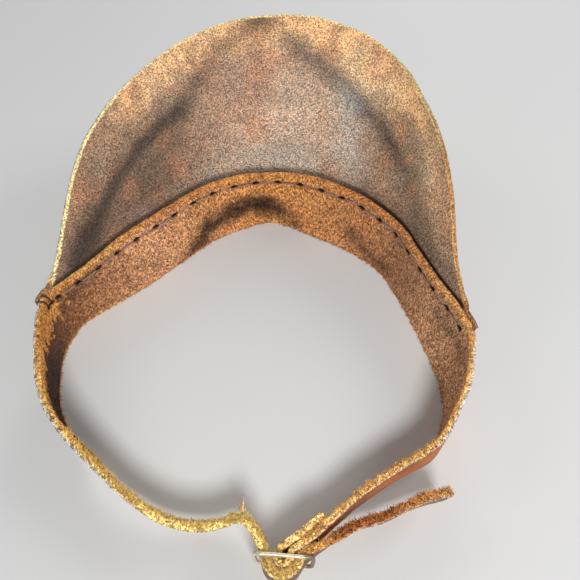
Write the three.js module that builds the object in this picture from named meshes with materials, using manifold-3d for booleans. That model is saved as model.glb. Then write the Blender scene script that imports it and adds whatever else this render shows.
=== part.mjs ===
// A hand-made leather sun visor. It stands upside down, on the edge that is its top edge when worn:
// the headband's rest edge is at z = 0, the brim rises and reaches out to +Y, and the straps meet in
// a wire slide buckle at -Y. One leather strip makes the headband, both straps and the free tail.
// Units are millimetres, +Z is up.
import * as THREE from 'three';
import { mergeVertices } from 'three/addons/utils/BufferGeometryUtils.js';
import Module from 'manifold-3d';

const wasm = await Module();
wasm.setup();

// ---------------------------------------------------------------- driving dimensions
const GAP = 0.3;                 // clearance left between pieces that touch
const STRIP_THICK = 3.0;         // leather of the headband and straps
const BAND_HEIGHT = 37;          // headband, from rest edge to brim edge
const BUCKLED_HEIGHT = 17;       // straps where they pass the buckle
const MID_Z = BAND_HEIGHT / 2;   // the strip tapers evenly to this level

const BRIM_THICK = 2.6;
const BRIM_SLOPE = THREE.MathUtils.degToRad(36);   // rise of the brim at the front
const FLANGE_DEPTH = 9;          // part of the brim behind the headband
const BEND_LENGTH = 5;           // the flange turns into the brim over this length
const BEND_DEPTH = 3.5;          // and starts to turn this far below the headband's edge
const BRIM_END_REACH = 0.6;      // what is left of the brim past its ends
const BRIM_ROWS = 5;
const BRIM_COLUMNS = 84;

const SEAM_DROP = 5.5;           // stitch line below the headband's brim edge
const SEAM_HOLES = 23;
const HOLE_RADIUS = 1.1;
const THREAD_RADIUS = 0.35;
const THREAD_SPREAD = 0.5;       // each thread's distance from the middle of a hole
const SEAM_MARGIN = 4;           // from the flange's plain end to the first hole
const TACKS = [134.3, 137.2];    // edge turns, by distance along the seam from its middle
const TACK_MARGIN = 4;           // from the last hole to the first edge turn

const FOLD_STEPS = 6;            // stations on the turn round the bar
const LOOP_STEPS = 8;            // and on the turn round the fold
const TAIL_ROOT_ANGLES = [12, 35, 62].map(THREE.MathUtils.degToRad);

const FOLD_STITCH_STATION = 0.9; // place of the fold's stitch along the folded end
const FOLD_STITCH_SPAN = 6;      // height between its two holes
const FOLD_HOLE_RADIUS = 0.8;

const WIRE_RADIUS = 0.8;
const BUCKLE_WIDTH = 25;
const BUCKLE_HEIGHT = 21.8;
const BUCKLE_CORNER = 2.6;       // bend radius at the wire's centre
const BUCKLE_TURN = THREE.MathUtils.degToRad(-5);
const BAR = [14.5, -94.7];       // upright middle bar of the buckle
const FOLD_RADIUS = 2.8;         // folded strap end round the bar, at mid thickness
const LOOP_CENTRE = [13.9, -94.6];
const LOOP_RADIUS = 7.0;         // adjusting strap round the fold, at mid thickness

// ---------------------------------------------------------------- fineness of the mesh
const LONGEST_STEP = 6;          // along the strip
const SHARPEST_STEP = 0.3;       // turn of the strip between two rings, in radians
const OUTLINE_POINTS = 300;
const SEAM_TABLE_STEPS = 40;     // rows of the seam's distance table per station
const FOLD_SEARCH_STEP = 0.02;
const DRILL_SIDES = 8;
const THREAD_SIDES = 6;
const WIRE_SIDES = 10;
const ROD_REFERENCE = new THREE.Vector3(0.3, 0.2, 1);   // a direction that no rod runs along

// ---------------------------------------------------------------- the strip's route
// Stations along the strip, seen from above: x, y at mid height, lean of the wall in degrees
// (positive: the brim edge leans out), height of the strip.
const FOLDED_END = [
  [30.3, -78.8, 0, 17],
  [25.1, -83.0, 0, 17],
  [21.0, -86.2, 0, 17],
  [16.6, -89.2, 0, 17],
  [13.2, -91.5, 0, 17],
];
const RIGHT_STRAP = [
  [17.9, -92.7, 0, 17],
  [20.3, -90.9, 0, 17],
  [24.0, -88.6, 0, 17],
  [27.7, -85.8, 0, 17],
  [32.5, -81.7, 0, 18],
  [45.1, -71.4, 0, 18],
  [62.9, -59.9, 0, 18],
  [72.0, -55.2, 0, 20],
];
const RIGHT_SIDE = [
  [79.6, -50.6, 0, 24],
  [84.0, -45.8, 0, 29],
  [87.2, -40.2, 0, 33],
  [90.8, -33.0, 1, 36],
  [94.2, -23.5, 4, 37],
  [95.6, -10.0, 10, 37],
];
const FRONT = [
  [95.2, -1.0, 14, 37],
  [91.3, 11.1, 13, 37],
  [85.0, 26.2, 9, 37],
  [77.6, 43.9, 8, 37],
  [69.5, 60.2, 9, 37],
  [50.5, 77.9, 13, 37],
  [31.2, 88.3, 14, 37],
  [18.0, 93.4, 9, 37],
  [5.0, 95.2, 4, 37],
  [-9.0, 92.5, 8, 37],
  [-28.2, 83.4, 10, 37],
  [-46.8, 67.5, 11, 37],
  [-64.9, 51.0, 11, 37],
  [-82.6, 34.0, 2, 37],
  [-92.2, 25.0, 0, 37],
  [-97.2, 18.0, 4, 37],
  [-98.7, 13.4, 3, 37],
];
const LEFT_SIDE = [
  [-99.2, 2.0, -1, 37],
  [-95.3, -20.3, -4, 37],
  [-89.3, -33.9, -2, 37],
  [-84.2, -40.2, 0, 36],
  [-78.0, -46.6, 3, 32],
  [-72.6, -51.4, 5, 27],
];
const LEFT_STRAP = [
  [-62.2, -61.2, 3, 20],
  [-48.3, -71.8, 6, 18],
  [-33.1, -79.7, 13, 18],
  [-18.3, -82.0, 17, 18],
  [-10.0, -80.6, 15, 18],
  [-4.2, -79.2, 12, 18],
  [0.2, -80.6, 11, 18],
  [3.0, -83.9, 9, 18],
  [5.0, -87.6, 7, 17],
  [6.3, -91.1, 3, 17],
];
const TAIL_ROOT = [
  [23.0, -93.7, 0, 17],
  [26.2, -91.7, 3, 17],
  [30.9, -89.0, 6, 17],
];
const TAIL = [
  [35.0, -86.8, 10, 17],
  [43.7, -82.0, 12, 18],
  [53.1, -79.5, 12, 18],
  [64.3, -75.0, 9, 18],
  [72.9, -71.9, 8, 18],
  [83.4, -69.3, 8, 16],
];

// Brim outline laid flat: distance along the seam from its middle, reach beyond the crease.
const BRIM_OUTLINE = [
  [-130.5, 0.6],
  [-125, 7.5],
  [-121, 16],
  [-119, 29],
  [-117.5, 41],
  [-114.3, 52.5],
  [-109, 62],
  [-99.5, 69.7],
  [-85.5, 74.5],
  [-70, 79],
  [-52, 82],
  [-22, 82.6],
  [8, 81.5],
  [43, 79],
  [64, 76.8],
  [84, 71.2],
  [98.5, 65.2],
  [109.5, 57.7],
  [116.3, 47.3],
  [120.8, 34],
  [124.5, 18.5],
  [128, 6.8],
  [131, 0.6],
];

// ---------------------------------------------------------------- solids from rings
// A ring is a closed loop of an even number of points. Point i and point n-1-i face each other
// across the ring, so the end caps are strips of quads, and bent cross-sections close cleanly.
function loft(rings, { closed = false } = {}) {
  const n = rings[0].length;
  const positions = [];
  for (const ring of rings) {
    for (const p of ring) positions.push(p.x, p.y, p.z);
  }
  const index = [];
  const quad = (a, b, c, d) => index.push(a, b, c, a, c, d);
  const spans = closed ? rings.length : rings.length - 1;
  for (let r = 0; r < spans; r += 1) {
    const here = r * n;
    const next = ((r + 1) % rings.length) * n;
    for (let i = 0; i < n; i += 1) {
      const j = (i + 1) % n;
      quad(here + i, here + j, next + j, next + i);
    }
  }
  if (!closed) {
    const last = (rings.length - 1) * n;
    for (let i = 0; i < n / 2 - 1; i += 1) {
      quad(i, n - 1 - i, n - 2 - i, i + 1);
      quad(last + i, last + i + 1, last + n - 2 - i, last + n - 1 - i);
    }
  }
  const geometry = new THREE.BufferGeometry();
  geometry.setAttribute('position', new THREE.Float32BufferAttribute(positions, 3));
  geometry.setIndex(index);
  return facedOut(geometry);
}

// Turns every triangle round if the solid's signed volume is negative.
function facedOut(geometry) {
  const position = geometry.getAttribute('position');
  const index = geometry.getIndex().array;
  const [a, b, c] = [new THREE.Vector3(), new THREE.Vector3(), new THREE.Vector3()];
  let volume = 0;
  for (let i = 0; i < index.length; i += 3) {
    a.fromBufferAttribute(position, index[i]);
    b.fromBufferAttribute(position, index[i + 1]);
    c.fromBufferAttribute(position, index[i + 2]);
    volume += a.dot(b.cross(c));
  }
  if (volume < 0) {
    for (let i = 0; i < index.length; i += 3) {
      [index[i + 1], index[i + 2]] = [index[i + 2], index[i + 1]];
    }
  }
  return geometry;
}

// Round rod along a list of points, with rings square to the path.
function rod(points, radius, sides, closed = false) {
  const count = points.length;
  const at = (i) => points[closed ? (i + count) % count : THREE.MathUtils.clamp(i, 0, count - 1)];
  const tangent = (i) => at(i + 1).clone().sub(at(i - 1)).normalize();
  const side = new THREE.Vector3().crossVectors(tangent(0), ROD_REFERENCE).normalize();
  const rings = points.map((p, i) => {
    const along = tangent(i);
    side.addScaledVector(along, -side.dot(along)).normalize();
    const up = new THREE.Vector3().crossVectors(along, side);
    return Array.from({ length: sides }, (_, k) => {
      const angle = (2 * Math.PI * (k + 0.5)) / sides;
      return p.clone()
        .addScaledVector(side, radius * Math.cos(angle))
        .addScaledVector(up, radius * Math.sin(angle));
    });
  });
  return loft(rings, { closed });
}

function toManifold(geometry) {
  const bare = geometry.clone();
  bare.deleteAttribute('normal');
  bare.deleteAttribute('uv');
  const merged = mergeVertices(bare, 1e-4);
  return new wasm.Manifold(new wasm.Mesh({
    numProp: 3,
    vertProperties: new Float32Array(merged.getAttribute('position').array),
    triVerts: new Uint32Array(merged.getIndex().array),
  }));
}

function cut(geometry, tools) {
  let solid = toManifold(geometry);
  for (const tool of tools) solid = solid.subtract(toManifold(tool));
  const mesh = solid.getMesh();
  const result = new THREE.BufferGeometry();
  result.setAttribute('position', new THREE.Float32BufferAttribute(mesh.vertProperties, 3));
  result.setIndex(Array.from(mesh.triVerts));
  return result;
}

// ---------------------------------------------------------------- the strip as a wall
// Stations on an upright turn round a centre, from the -X side through -Y to the +X side.
function turn([cx, cy], radius, steps) {
  return Array.from({ length: steps + 1 }, (_, i) => {
    const angle = Math.PI + (Math.PI * i) / steps;
    return [cx + radius * Math.cos(angle), cy + radius * Math.sin(angle), 0, BUCKLED_HEIGHT];
  });
}

const BEFORE_FRONT = [
  ...FOLDED_END,
  ...turn(BAR, FOLD_RADIUS, FOLD_STEPS),
  ...RIGHT_STRAP,
  ...RIGHT_SIDE,
];
const BEFORE_TAIL = [
  ...BEFORE_FRONT,
  ...FRONT,
  ...LEFT_SIDE,
  ...LEFT_STRAP,
  ...turn(LOOP_CENTRE, LOOP_RADIUS, LOOP_STEPS).slice(0, -1),
  ...TAIL_ROOT,
];
const STATIONS = [...BEFORE_TAIL, ...TAIL];
const SEAM_FIRST = BEFORE_FRONT.length;
const SEAM_LAST = SEAM_FIRST + FRONT.length - 1;
const TAIL_FIRST = BEFORE_TAIL.length;

const plan = new THREE.CatmullRomCurve3(STATIONS.map(([x, y]) => new THREE.Vector3(x, y, 0)));
const walls = new THREE.CatmullRomCurve3(
  STATIONS.map(([x, y, lean, height]) => new THREE.Vector3(lean, height, 0)),
);

// The strip's wall at station number s, which need not be whole.
function wallAt(s) {
  const u = s / (STATIONS.length - 1);
  const centre = plan.getPoint(u);
  const along = plan.getTangent(u).setZ(0).normalize();
  const { x: lean, y: height } = walls.getPoint(u);
  return {
    centre,
    along,
    out: new THREE.Vector3(along.y, -along.x, 0),
    lean: THREE.MathUtils.degToRad(lean),
    low: Math.max(0, MID_Z - height / 2),
    high: Math.min(BAND_HEIGHT, MID_Z + height / 2),
  };
}

// Point on a wall at level z, at a distance outwards from its middle surface.
function onWall(wall, z, distance) {
  const reach = (z - MID_Z) * Math.tan(wall.lean) + distance / Math.cos(wall.lean);
  return wall.centre.clone().addScaledVector(wall.out, reach).setZ(z);
}

// Direction square to the wall's faces.
function wallNormal(wall) {
  return wall.out.clone().multiplyScalar(Math.cos(wall.lean)).setZ(-Math.sin(wall.lean));
}

// Point square off the wall's middle surface, where that surface is at level z.
function offWall(wall, z, distance) {
  return onWall(wall, z, 0).addScaledVector(wallNormal(wall), distance);
}

// Station numbers from first to last, closer together where the strip is bent.
function stationSteps(first, last) {
  const steps = [first];
  for (let s = Math.floor(first); s < last; s += 1) {
    const from = Math.max(s, first);
    const to = Math.min(s + 1, last);
    const a = wallAt(from);
    const b = wallAt(to);
    const length = a.centre.distanceTo(b.centre);
    const bend = a.along.angleTo(b.along);
    const count = Math.max(1, Math.ceil(Math.max(length / LONGEST_STEP, bend / SHARPEST_STEP)));
    for (let i = 1; i <= count; i += 1) steps.push(from + ((to - from) * i) / count);
  }
  return steps;
}

// Cross-section of the strip on a wall, with its middle surface halfway.
function stripRing(wall, half = STRIP_THICK / 2) {
  return [
    onWall(wall, wall.low, -half),
    onWall(wall, wall.low, half),
    onWall(wall, wall.high, half),
    onWall(wall, wall.high, -half),
  ];
}

function stripRings(first, last) {
  return stationSteps(first, last).map((s) => stripRing(wallAt(s)));
}

// Half-round root of the tail, about the line that the tail turns on.
function tailRootRings() {
  const wall = wallAt(TAIL_FIRST);
  return TAIL_ROOT_ANGLES.map((angle) => {
    const half = (STRIP_THICK / 2) * Math.sin(angle);
    const back = (STRIP_THICK / 2) * Math.cos(angle);
    return stripRing(wall, half).map((p) => p.addScaledVector(wall.along, -back));
  });
}

// Where the headband ends, so that the tail's root turns clear of it.
function headbandEnd() {
  const step = 0.5;
  const speed = wallAt(TAIL_FIRST).centre.distanceTo(wallAt(TAIL_FIRST - step).centre) / step;
  return TAIL_FIRST - (STRIP_THICK / 2 + GAP) / speed;
}

// ---------------------------------------------------------------- the seam
// Lookup between station numbers along the seam and distance from the seam's middle.
const seamTable = (() => {
  const rows = [];
  let distance = 0;
  let previous = wallAt(SEAM_FIRST).centre;
  for (let i = 0; i <= (SEAM_LAST - SEAM_FIRST) * SEAM_TABLE_STEPS; i += 1) {
    const s = SEAM_FIRST + i / SEAM_TABLE_STEPS;
    const { centre } = wallAt(s);
    distance += centre.distanceTo(previous);
    previous = centre;
    rows.push({ s, distance });
  }
  return rows.map((row) => ({ s: row.s, distance: row.distance - distance / 2 }));
})();
const SEAM_HALF = seamTable.at(-1).distance;

function stationAtDistance(distance) {
  const next = seamTable.findIndex((row) => row.distance >= distance);
  if (next === -1) return SEAM_LAST;
  if (next === 0) return SEAM_FIRST;
  const a = seamTable[next - 1];
  const b = seamTable[next];
  return a.s + ((b.s - a.s) * (distance - a.distance)) / (b.distance - a.distance);
}

const SEAM_Z = BAND_HEIGHT - SEAM_DROP;
const FLANGE_MIDDLE = STRIP_THICK / 2 + GAP + BRIM_THICK / 2;
const STACK_OUTSIDE = STRIP_THICK / 2 + GAP + BRIM_THICK;

const holeStations = Array.from({ length: SEAM_HOLES }, (_, i) => {
  const part = i / (SEAM_HOLES - 1);
  const distance = THREE.MathUtils.lerp(SEAM_MARGIN - SEAM_HALF, TACKS[0] - TACK_MARGIN, part);
  return stationAtDistance(distance);
});

// Drill for one stitch hole, through headband and flange.
function drill(s) {
  const wall = wallAt(s);
  const start = offWall(wall, SEAM_Z, -STRIP_THICK);
  const end = offWall(wall, SEAM_Z, STACK_OUTSIDE + STRIP_THICK / 2);
  return rod([start, end], HOLE_RADIUS, DRILL_SIDES);
}

// One thread of the saddle stitch. It passes through every hole and lies on alternate faces.
function seamThread(startsInside, offset) {
  const inside = -(STRIP_THICK / 2 + GAP + THREAD_RADIUS);
  const outside = STACK_OUTSIDE + GAP + THREAD_RADIUS;
  const z = SEAM_Z + offset;
  const points = [];
  let face = startsInside ? inside : outside;
  holeStations.forEach((s, i) => {
    const other = face === inside ? outside : inside;
    const wall = wallAt(s);
    if (i === 0) points.push(offWall(wall, z, face));
    points.push(offWall(wall, z, other));
    face = other;
    if (i === holeStations.length - 1) return;
    const next = holeStations[i + 1];
    for (const part of [0.33, 0.67]) {
      points.push(offWall(wallAt(s + (next - s) * part), z, face));
    }
    points.push(offWall(wallAt(next), z, face));
  });
  return rod(points, THREAD_RADIUS, THREAD_SIDES);
}

// A turn of thread from a hole over the brim edge of headband and flange.
function edgeTack(distance) {
  const wall = wallAt(stationAtDistance(distance));
  const inside = -(STRIP_THICK / 2 + GAP + THREAD_RADIUS);
  const outside = STACK_OUTSIDE + GAP + THREAD_RADIUS;
  const top = BAND_HEIGHT + GAP + THREAD_RADIUS;
  const round = 0.6;
  const corners = [
    [SEAM_Z, inside + round], [SEAM_Z + round, inside],
    [top - round, inside], [top, inside + round],
    [top, outside - round], [top - round, outside],
    [SEAM_Z + round, outside], [SEAM_Z, outside - round],
  ];
  const points = corners.map(([z, across]) => offWall(wall, z, across));
  return rod(points, THREAD_RADIUS, THREAD_SIDES, true);
}

// ---------------------------------------------------------------- the brim
const outline = new THREE.SplineCurve(BRIM_OUTLINE.map(([x, y]) => new THREE.Vector2(x, y)));
const outlinePoints = outline.getPoints(OUTLINE_POINTS);

function brimReach(distance) {
  const next = outlinePoints.findIndex((p) => p.x >= distance);
  if (next <= 0) return BRIM_END_REACH;
  const a = outlinePoints[next - 1];
  const b = outlinePoints[next];
  return Math.max(BRIM_END_REACH, a.y + ((b.y - a.y) * (distance - a.x)) / (b.x - a.x));
}

// Middle line of the brim's section at a distance along the seam: flange, bend, then straight out.
// Past the brim's ends only the flange is left, which stays in line with the wall.
function brimSection(distance) {
  const wall = wallAt(stationAtDistance(distance));
  const reach = brimReach(distance);
  const plain = reach < 2 * BRIM_END_REACH;
  const rise = plain
    ? onWall(wall, BAND_HEIGHT, 0).sub(onWall(wall, 0, 0)).normalize()
    : new THREE.Vector3(0, Math.cos(BRIM_SLOPE), Math.sin(BRIM_SLOPE));
  const crease = onWall(wall, BAND_HEIGHT - (plain ? reach : 0), FLANGE_MIDDLE);
  const bendOut = Math.min(BEND_LENGTH, reach / 2);
  const bend = new THREE.QuadraticBezierCurve3(
    onWall(wall, BAND_HEIGHT - BEND_DEPTH, FLANGE_MIDDLE),
    crease,
    crease.clone().addScaledVector(rise, bendOut),
  );
  const points = [onWall(wall, BAND_HEIGHT - FLANGE_DEPTH, FLANGE_MIDDLE), ...bend.getPoints(4)];
  for (let i = 1; i <= BRIM_ROWS; i += 1) {
    const out = THREE.MathUtils.lerp(bendOut, reach, i / BRIM_ROWS);
    points.push(crease.clone().addScaledVector(rise, out));
  }
  return points;
}

function brimSolid() {
  const spread = 1.45;              // gathers the columns towards the brim's steep ends
  const grid = Array.from({ length: BRIM_COLUMNS + 1 }, (_, i) => {
    const part = (2 * i) / BRIM_COLUMNS - 1;
    return brimSection((SEAM_HALF * Math.sin(spread * part)) / Math.sin(spread));
  });
  const rings = grid.map((section, column) => {
    const before = grid[Math.max(column - 1, 0)];
    const after = grid[Math.min(column + 1, BRIM_COLUMNS)];
    const normals = section.map((_, row) => {
      const inner = section[Math.max(row - 1, 0)];
      const across = section[Math.min(row + 1, section.length - 1)].clone().sub(inner);
      const along = after[0].clone().sub(before[0]);
      return across.cross(along).normalize();
    });
    const face = (offset) => section.map((p, row) => p.clone().addScaledVector(normals[row], offset));
    return [...face(BRIM_THICK / 2), ...face(-BRIM_THICK / 2).reverse()];
  });
  return loft(rings);
}

// ---------------------------------------------------------------- the buckle
function buckleFrame() {
  const halfWidth = BUCKLE_WIDTH / 2 - WIRE_RADIUS;
  const halfHeight = BUCKLE_HEIGHT / 2 - WIRE_RADIUS;
  const corners = [[1, 1], [-1, 1], [-1, -1], [1, -1]];
  const bendSteps = 4;
  const points = [];
  corners.forEach(([x, z], corner) => {
    for (let i = 0; i <= bendSteps; i += 1) {
      const angle = (Math.PI / 2) * (corner + i / bendSteps);
      points.push(new THREE.Vector3(
        x * (halfWidth - BUCKLE_CORNER) + BUCKLE_CORNER * Math.cos(angle),
        0,
        z * (halfHeight - BUCKLE_CORNER) + BUCKLE_CORNER * Math.sin(angle),
      ));
    }
  });
  return rod(points, WIRE_RADIUS, WIRE_SIDES, true);
}

function buckleBar() {
  const half = BUCKLE_HEIGHT / 2 - 2 * WIRE_RADIUS - GAP;
  const ends = [-half, half].map((z) => new THREE.Vector3(0, 0, z));
  return rod(ends, WIRE_RADIUS, WIRE_SIDES);
}

// ---------------------------------------------------------------- the stitched fold
// Walls of the folded end and of the strap that it lies on, where they are stitched together.
const foldWall = wallAt(FOLD_STITCH_STATION);
const backWall = (() => {
  const from = FOLDED_END.length + FOLD_STEPS + 1;
  const to = from + FOLD_STEPS;
  let nearest = null;
  for (let s = from; s < to; s += FOLD_SEARCH_STEP) {
    const wall = wallAt(s);
    const reach = wall.centre.distanceTo(foldWall.centre);
    if (!nearest || reach < nearest.reach) nearest = { reach, wall };
  }
  return nearest.wall;
})();
const foldThrough = backWall.centre.clone().sub(foldWall.centre).setZ(0);

// Point of the fold stitch at level z; part 0 is inside the folded end, part 1 inside the strap.
function foldPoint(z, part, beyond = 0) {
  const direction = foldThrough.clone().normalize();
  return foldWall.centre.clone().setZ(z)
    .addScaledVector(foldThrough, part)
    .addScaledVector(direction, beyond);
}

function foldDrill(z) {
  const ends = [foldPoint(z, 0, -STRIP_THICK), foldPoint(z, 1, STRIP_THICK)];
  return rod(ends, FOLD_HOLE_RADIUS, DRILL_SIDES);
}

// Closed turn of thread through both holes.
function foldThread() {
  const face = STRIP_THICK / 2 + GAP + THREAD_RADIUS;
  const round = 0.5;
  const high = MID_Z + FOLD_STITCH_SPAN / 2;
  const low = MID_Z - FOLD_STITCH_SPAN / 2;
  const points = [
    foldPoint(high, 0, -face + round), foldPoint(high, 1, face - round),
    foldPoint(high - round, 1, face), foldPoint(low + round, 1, face),
    foldPoint(low, 1, face - round), foldPoint(low, 0, -face + round),
    foldPoint(low + round, 0, -face), foldPoint(high - round, 0, -face),
  ];
  return rod(points, THREAD_RADIUS, THREAD_SIDES, true);
}

// ---------------------------------------------------------------- assembly
const leather = { color: 0x7a4a2c, roughness: 0.85, metalness: 0 };
const brimLeather = { color: 0x4a3328, roughness: 0.55, metalness: 0 };
const thread = { color: 0x2a1f1a, roughness: 0.7, metalness: 0 };
const wire = { color: 0xc9c6bd, roughness: 0.3, metalness: 1 };

const group = new THREE.Group();
function add(name, geometry, finish) {
  const mesh = new THREE.Mesh(geometry, new THREE.MeshStandardMaterial(finish));
  mesh.name = name;
  group.add(mesh);
  return mesh;
}

const drills = [...holeStations, ...TACKS.map(stationAtDistance)].map(drill);
const foldDrills = [-1, 1].map((side) => foldDrill(MID_Z + (side * FOLD_STITCH_SPAN) / 2));
const headband = loft(stripRings(0, headbandEnd()));
const tail = loft([...tailRootRings(), ...stripRings(TAIL_FIRST, STATIONS.length - 1)]);
add('headband', cut(headband, [...drills, ...foldDrills]), leather);
add('tail_strap', tail, leather);
add('brim', cut(brimSolid(), drills), brimLeather);
add('seam_thread_a', seamThread(true, THREAD_SPREAD), thread);
add('seam_thread_b', seamThread(false, -THREAD_SPREAD), thread);
TACKS.forEach((distance, i) => add(`end_tack_${i + 1}`, edgeTack(distance), thread));
add('fold_thread', foldThread(), thread);

for (const [name, geometry] of [['buckle_frame', buckleFrame()], ['buckle_bar', buckleBar()]]) {
  const mesh = add(name, geometry, wire);
  mesh.position.set(BAR[0], BAR[1], MID_Z);
  mesh.rotation.z = BUCKLE_TURN;
}

// The origin is the middle of the whole object's footprint, on the surface it stands on.
const box = new THREE.Box3().setFromObject(group, true);
const middle = box.getCenter(new THREE.Vector3());
group.position.set(-middle.x, -middle.y, -box.min.z);

export default group;
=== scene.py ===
"""A hand-made leather sun visor, upside down on a table: its looks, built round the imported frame.

Lengths in this file are millimetres, in the ring frame: the frame that the strip's stations are
written in. place() turns them into the row frame's metres.
"""
import math

import bpy
import numpy as np
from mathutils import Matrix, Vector


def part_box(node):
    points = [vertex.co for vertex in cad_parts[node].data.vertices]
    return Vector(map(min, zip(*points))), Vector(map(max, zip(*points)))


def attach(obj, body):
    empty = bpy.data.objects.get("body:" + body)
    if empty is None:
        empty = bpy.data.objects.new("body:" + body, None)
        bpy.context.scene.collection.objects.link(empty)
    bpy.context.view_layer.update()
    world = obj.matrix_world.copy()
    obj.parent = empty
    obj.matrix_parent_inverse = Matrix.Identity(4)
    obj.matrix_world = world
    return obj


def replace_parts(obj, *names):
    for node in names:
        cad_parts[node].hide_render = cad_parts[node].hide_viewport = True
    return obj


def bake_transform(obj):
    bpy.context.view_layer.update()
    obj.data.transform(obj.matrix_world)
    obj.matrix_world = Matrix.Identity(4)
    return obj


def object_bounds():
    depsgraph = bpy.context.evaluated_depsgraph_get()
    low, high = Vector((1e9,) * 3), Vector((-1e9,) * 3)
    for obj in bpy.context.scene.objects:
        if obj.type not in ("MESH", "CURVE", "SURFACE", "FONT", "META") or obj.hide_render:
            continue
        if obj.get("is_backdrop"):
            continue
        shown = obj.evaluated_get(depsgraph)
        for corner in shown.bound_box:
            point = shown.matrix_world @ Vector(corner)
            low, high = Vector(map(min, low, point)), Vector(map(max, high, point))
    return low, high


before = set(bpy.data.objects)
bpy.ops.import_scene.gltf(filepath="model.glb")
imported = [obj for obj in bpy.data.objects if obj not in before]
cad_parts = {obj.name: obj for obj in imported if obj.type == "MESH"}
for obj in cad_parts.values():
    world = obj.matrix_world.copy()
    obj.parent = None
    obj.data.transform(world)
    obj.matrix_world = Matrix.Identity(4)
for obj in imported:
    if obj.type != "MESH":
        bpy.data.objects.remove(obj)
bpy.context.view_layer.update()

# ------------------------------------------------------------------ the CAD's dimensions, in mm
GAP = 0.3
STRIP_THICK = 3.0
BAND_HEIGHT = 37.0
BUCKLED_HEIGHT = 17.0
MID_Z = BAND_HEIGHT / 2
BRIM_THICK = 2.6
BRIM_SLOPE = math.radians(36)
FLANGE_DEPTH = 9.0
BEND_LENGTH = 5.0
BEND_DEPTH = 3.5
BRIM_END_REACH = 0.6
SEAM_DROP = 5.5
SEAM_HOLES = 23
THREAD_SPREAD = 0.5
SEAM_MARGIN = 4.0
TACKS = (134.3, 137.2)
TACK_MARGIN = 4.0
FOLD_STITCH_STATION = 0.9
FOLD_STITCH_SPAN = 6.0
WIRE_RADIUS = 0.8
BUCKLE_WIDTH = 25.0
BUCKLE_HEIGHT = 21.8
BUCKLE_CORNER = 2.6
BUCKLE_TURN = math.radians(-5)
BAR = (14.5, -94.7)
FOLD_RADIUS = 2.8
LOOP_CENTRE = (13.9, -94.6)
LOOP_RADIUS = 7.0

# Stations along the strip, seen from above: x, y at mid height, lean in degrees, height.
FOLDED_END = [
    (30.3, -78.8, 0, 17), (25.1, -83.0, 0, 17), (21.0, -86.2, 0, 17),
    (16.6, -89.2, 0, 17), (13.2, -91.5, 0, 17),
]
RIGHT_STRAP = [
    (17.9, -92.7, 0, 17), (20.3, -90.9, 0, 17), (24.0, -88.6, 0, 17), (27.7, -85.8, 0, 17),
    (32.5, -81.7, 0, 18), (45.1, -71.4, 0, 18), (62.9, -59.9, 0, 18), (72.0, -55.2, 0, 20),
]
RIGHT_SIDE = [
    (79.6, -50.6, 0, 24), (84.0, -45.8, 0, 29), (87.2, -40.2, 0, 33),
    (90.8, -33.0, 1, 36), (94.2, -23.5, 4, 37), (95.6, -10.0, 10, 37),
]
FRONT = [
    (95.2, -1.0, 14, 37), (91.3, 11.1, 13, 37), (85.0, 26.2, 9, 37), (77.6, 43.9, 8, 37),
    (69.5, 60.2, 9, 37), (50.5, 77.9, 13, 37), (31.2, 88.3, 14, 37), (18.0, 93.4, 9, 37),
    (5.0, 95.2, 4, 37), (-9.0, 92.5, 8, 37), (-28.2, 83.4, 10, 37), (-46.8, 67.5, 11, 37),
    (-64.9, 51.0, 11, 37), (-82.6, 34.0, 2, 37), (-92.2, 25.0, 0, 37), (-97.2, 18.0, 4, 37),
    (-98.7, 13.4, 3, 37),
]
LEFT_SIDE = [
    (-99.2, 2.0, -1, 37), (-95.3, -20.3, -4, 37), (-89.3, -33.9, -2, 37),
    (-84.2, -40.2, 0, 36), (-78.0, -46.6, 3, 32), (-72.6, -51.4, 5, 27),
]
LEFT_STRAP = [
    (-62.2, -61.2, 3, 20), (-48.3, -71.8, 6, 18), (-33.1, -79.7, 13, 18), (-18.3, -82.0, 17, 18),
    (-10.0, -80.6, 15, 18), (-4.2, -79.2, 12, 18), (0.2, -80.6, 11, 18), (3.0, -83.9, 9, 18),
    (5.0, -87.6, 7, 17), (6.3, -91.1, 3, 17),
]
TAIL_ROOT = [(23.0, -93.7, 0, 17), (26.2, -91.7, 3, 17), (30.9, -89.0, 6, 17)]
TAIL = [
    (35.0, -86.8, 10, 17), (43.7, -82.0, 12, 18), (53.1, -79.5, 12, 18),
    (64.3, -75.0, 9, 18), (72.9, -71.9, 8, 18), (83.4, -69.3, 8, 16),
]
# Brim outline laid flat: distance along the seam from its middle (left is positive), reach.
BRIM_OUTLINE = [
    (-130.5, 0.6), (-125, 7.5), (-121, 16), (-119, 29), (-117.5, 41), (-114.3, 52.5),
    (-109, 62), (-99.5, 69.7), (-85.5, 74.5), (-70, 79), (-52, 82), (-22, 82.6), (8, 81.5),
    (43, 79), (64, 76.8), (84, 71.2), (98.5, 65.2), (109.5, 57.7), (116.3, 47.3),
    (120.8, 34), (124.5, 18.5), (128, 6.8), (131, 0.6),
]


def turn(centre, radius, steps):
    """Stations on an upright turn round a centre, from the -X side through -Y to the +X side."""
    angles = math.pi + math.pi * np.arange(steps + 1) / steps
    return [
        (centre[0] + radius * math.cos(a), centre[1] + radius * math.sin(a), 0, BUCKLED_HEIGHT)
        for a in angles
    ]


BEFORE_FRONT = FOLDED_END + turn(BAR, FOLD_RADIUS, 6) + RIGHT_STRAP + RIGHT_SIDE
BEFORE_TAIL = (
    BEFORE_FRONT + FRONT + LEFT_SIDE + LEFT_STRAP
    + turn(LOOP_CENTRE, LOOP_RADIUS, 8)[:-1] + TAIL_ROOT
)
STATIONS = np.array(BEFORE_TAIL + TAIL, float)
SEAM_FIRST = len(BEFORE_FRONT)
SEAM_LAST = SEAM_FIRST + len(FRONT) - 1
STRIP_LAST = len(STATIONS) - 1


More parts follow.
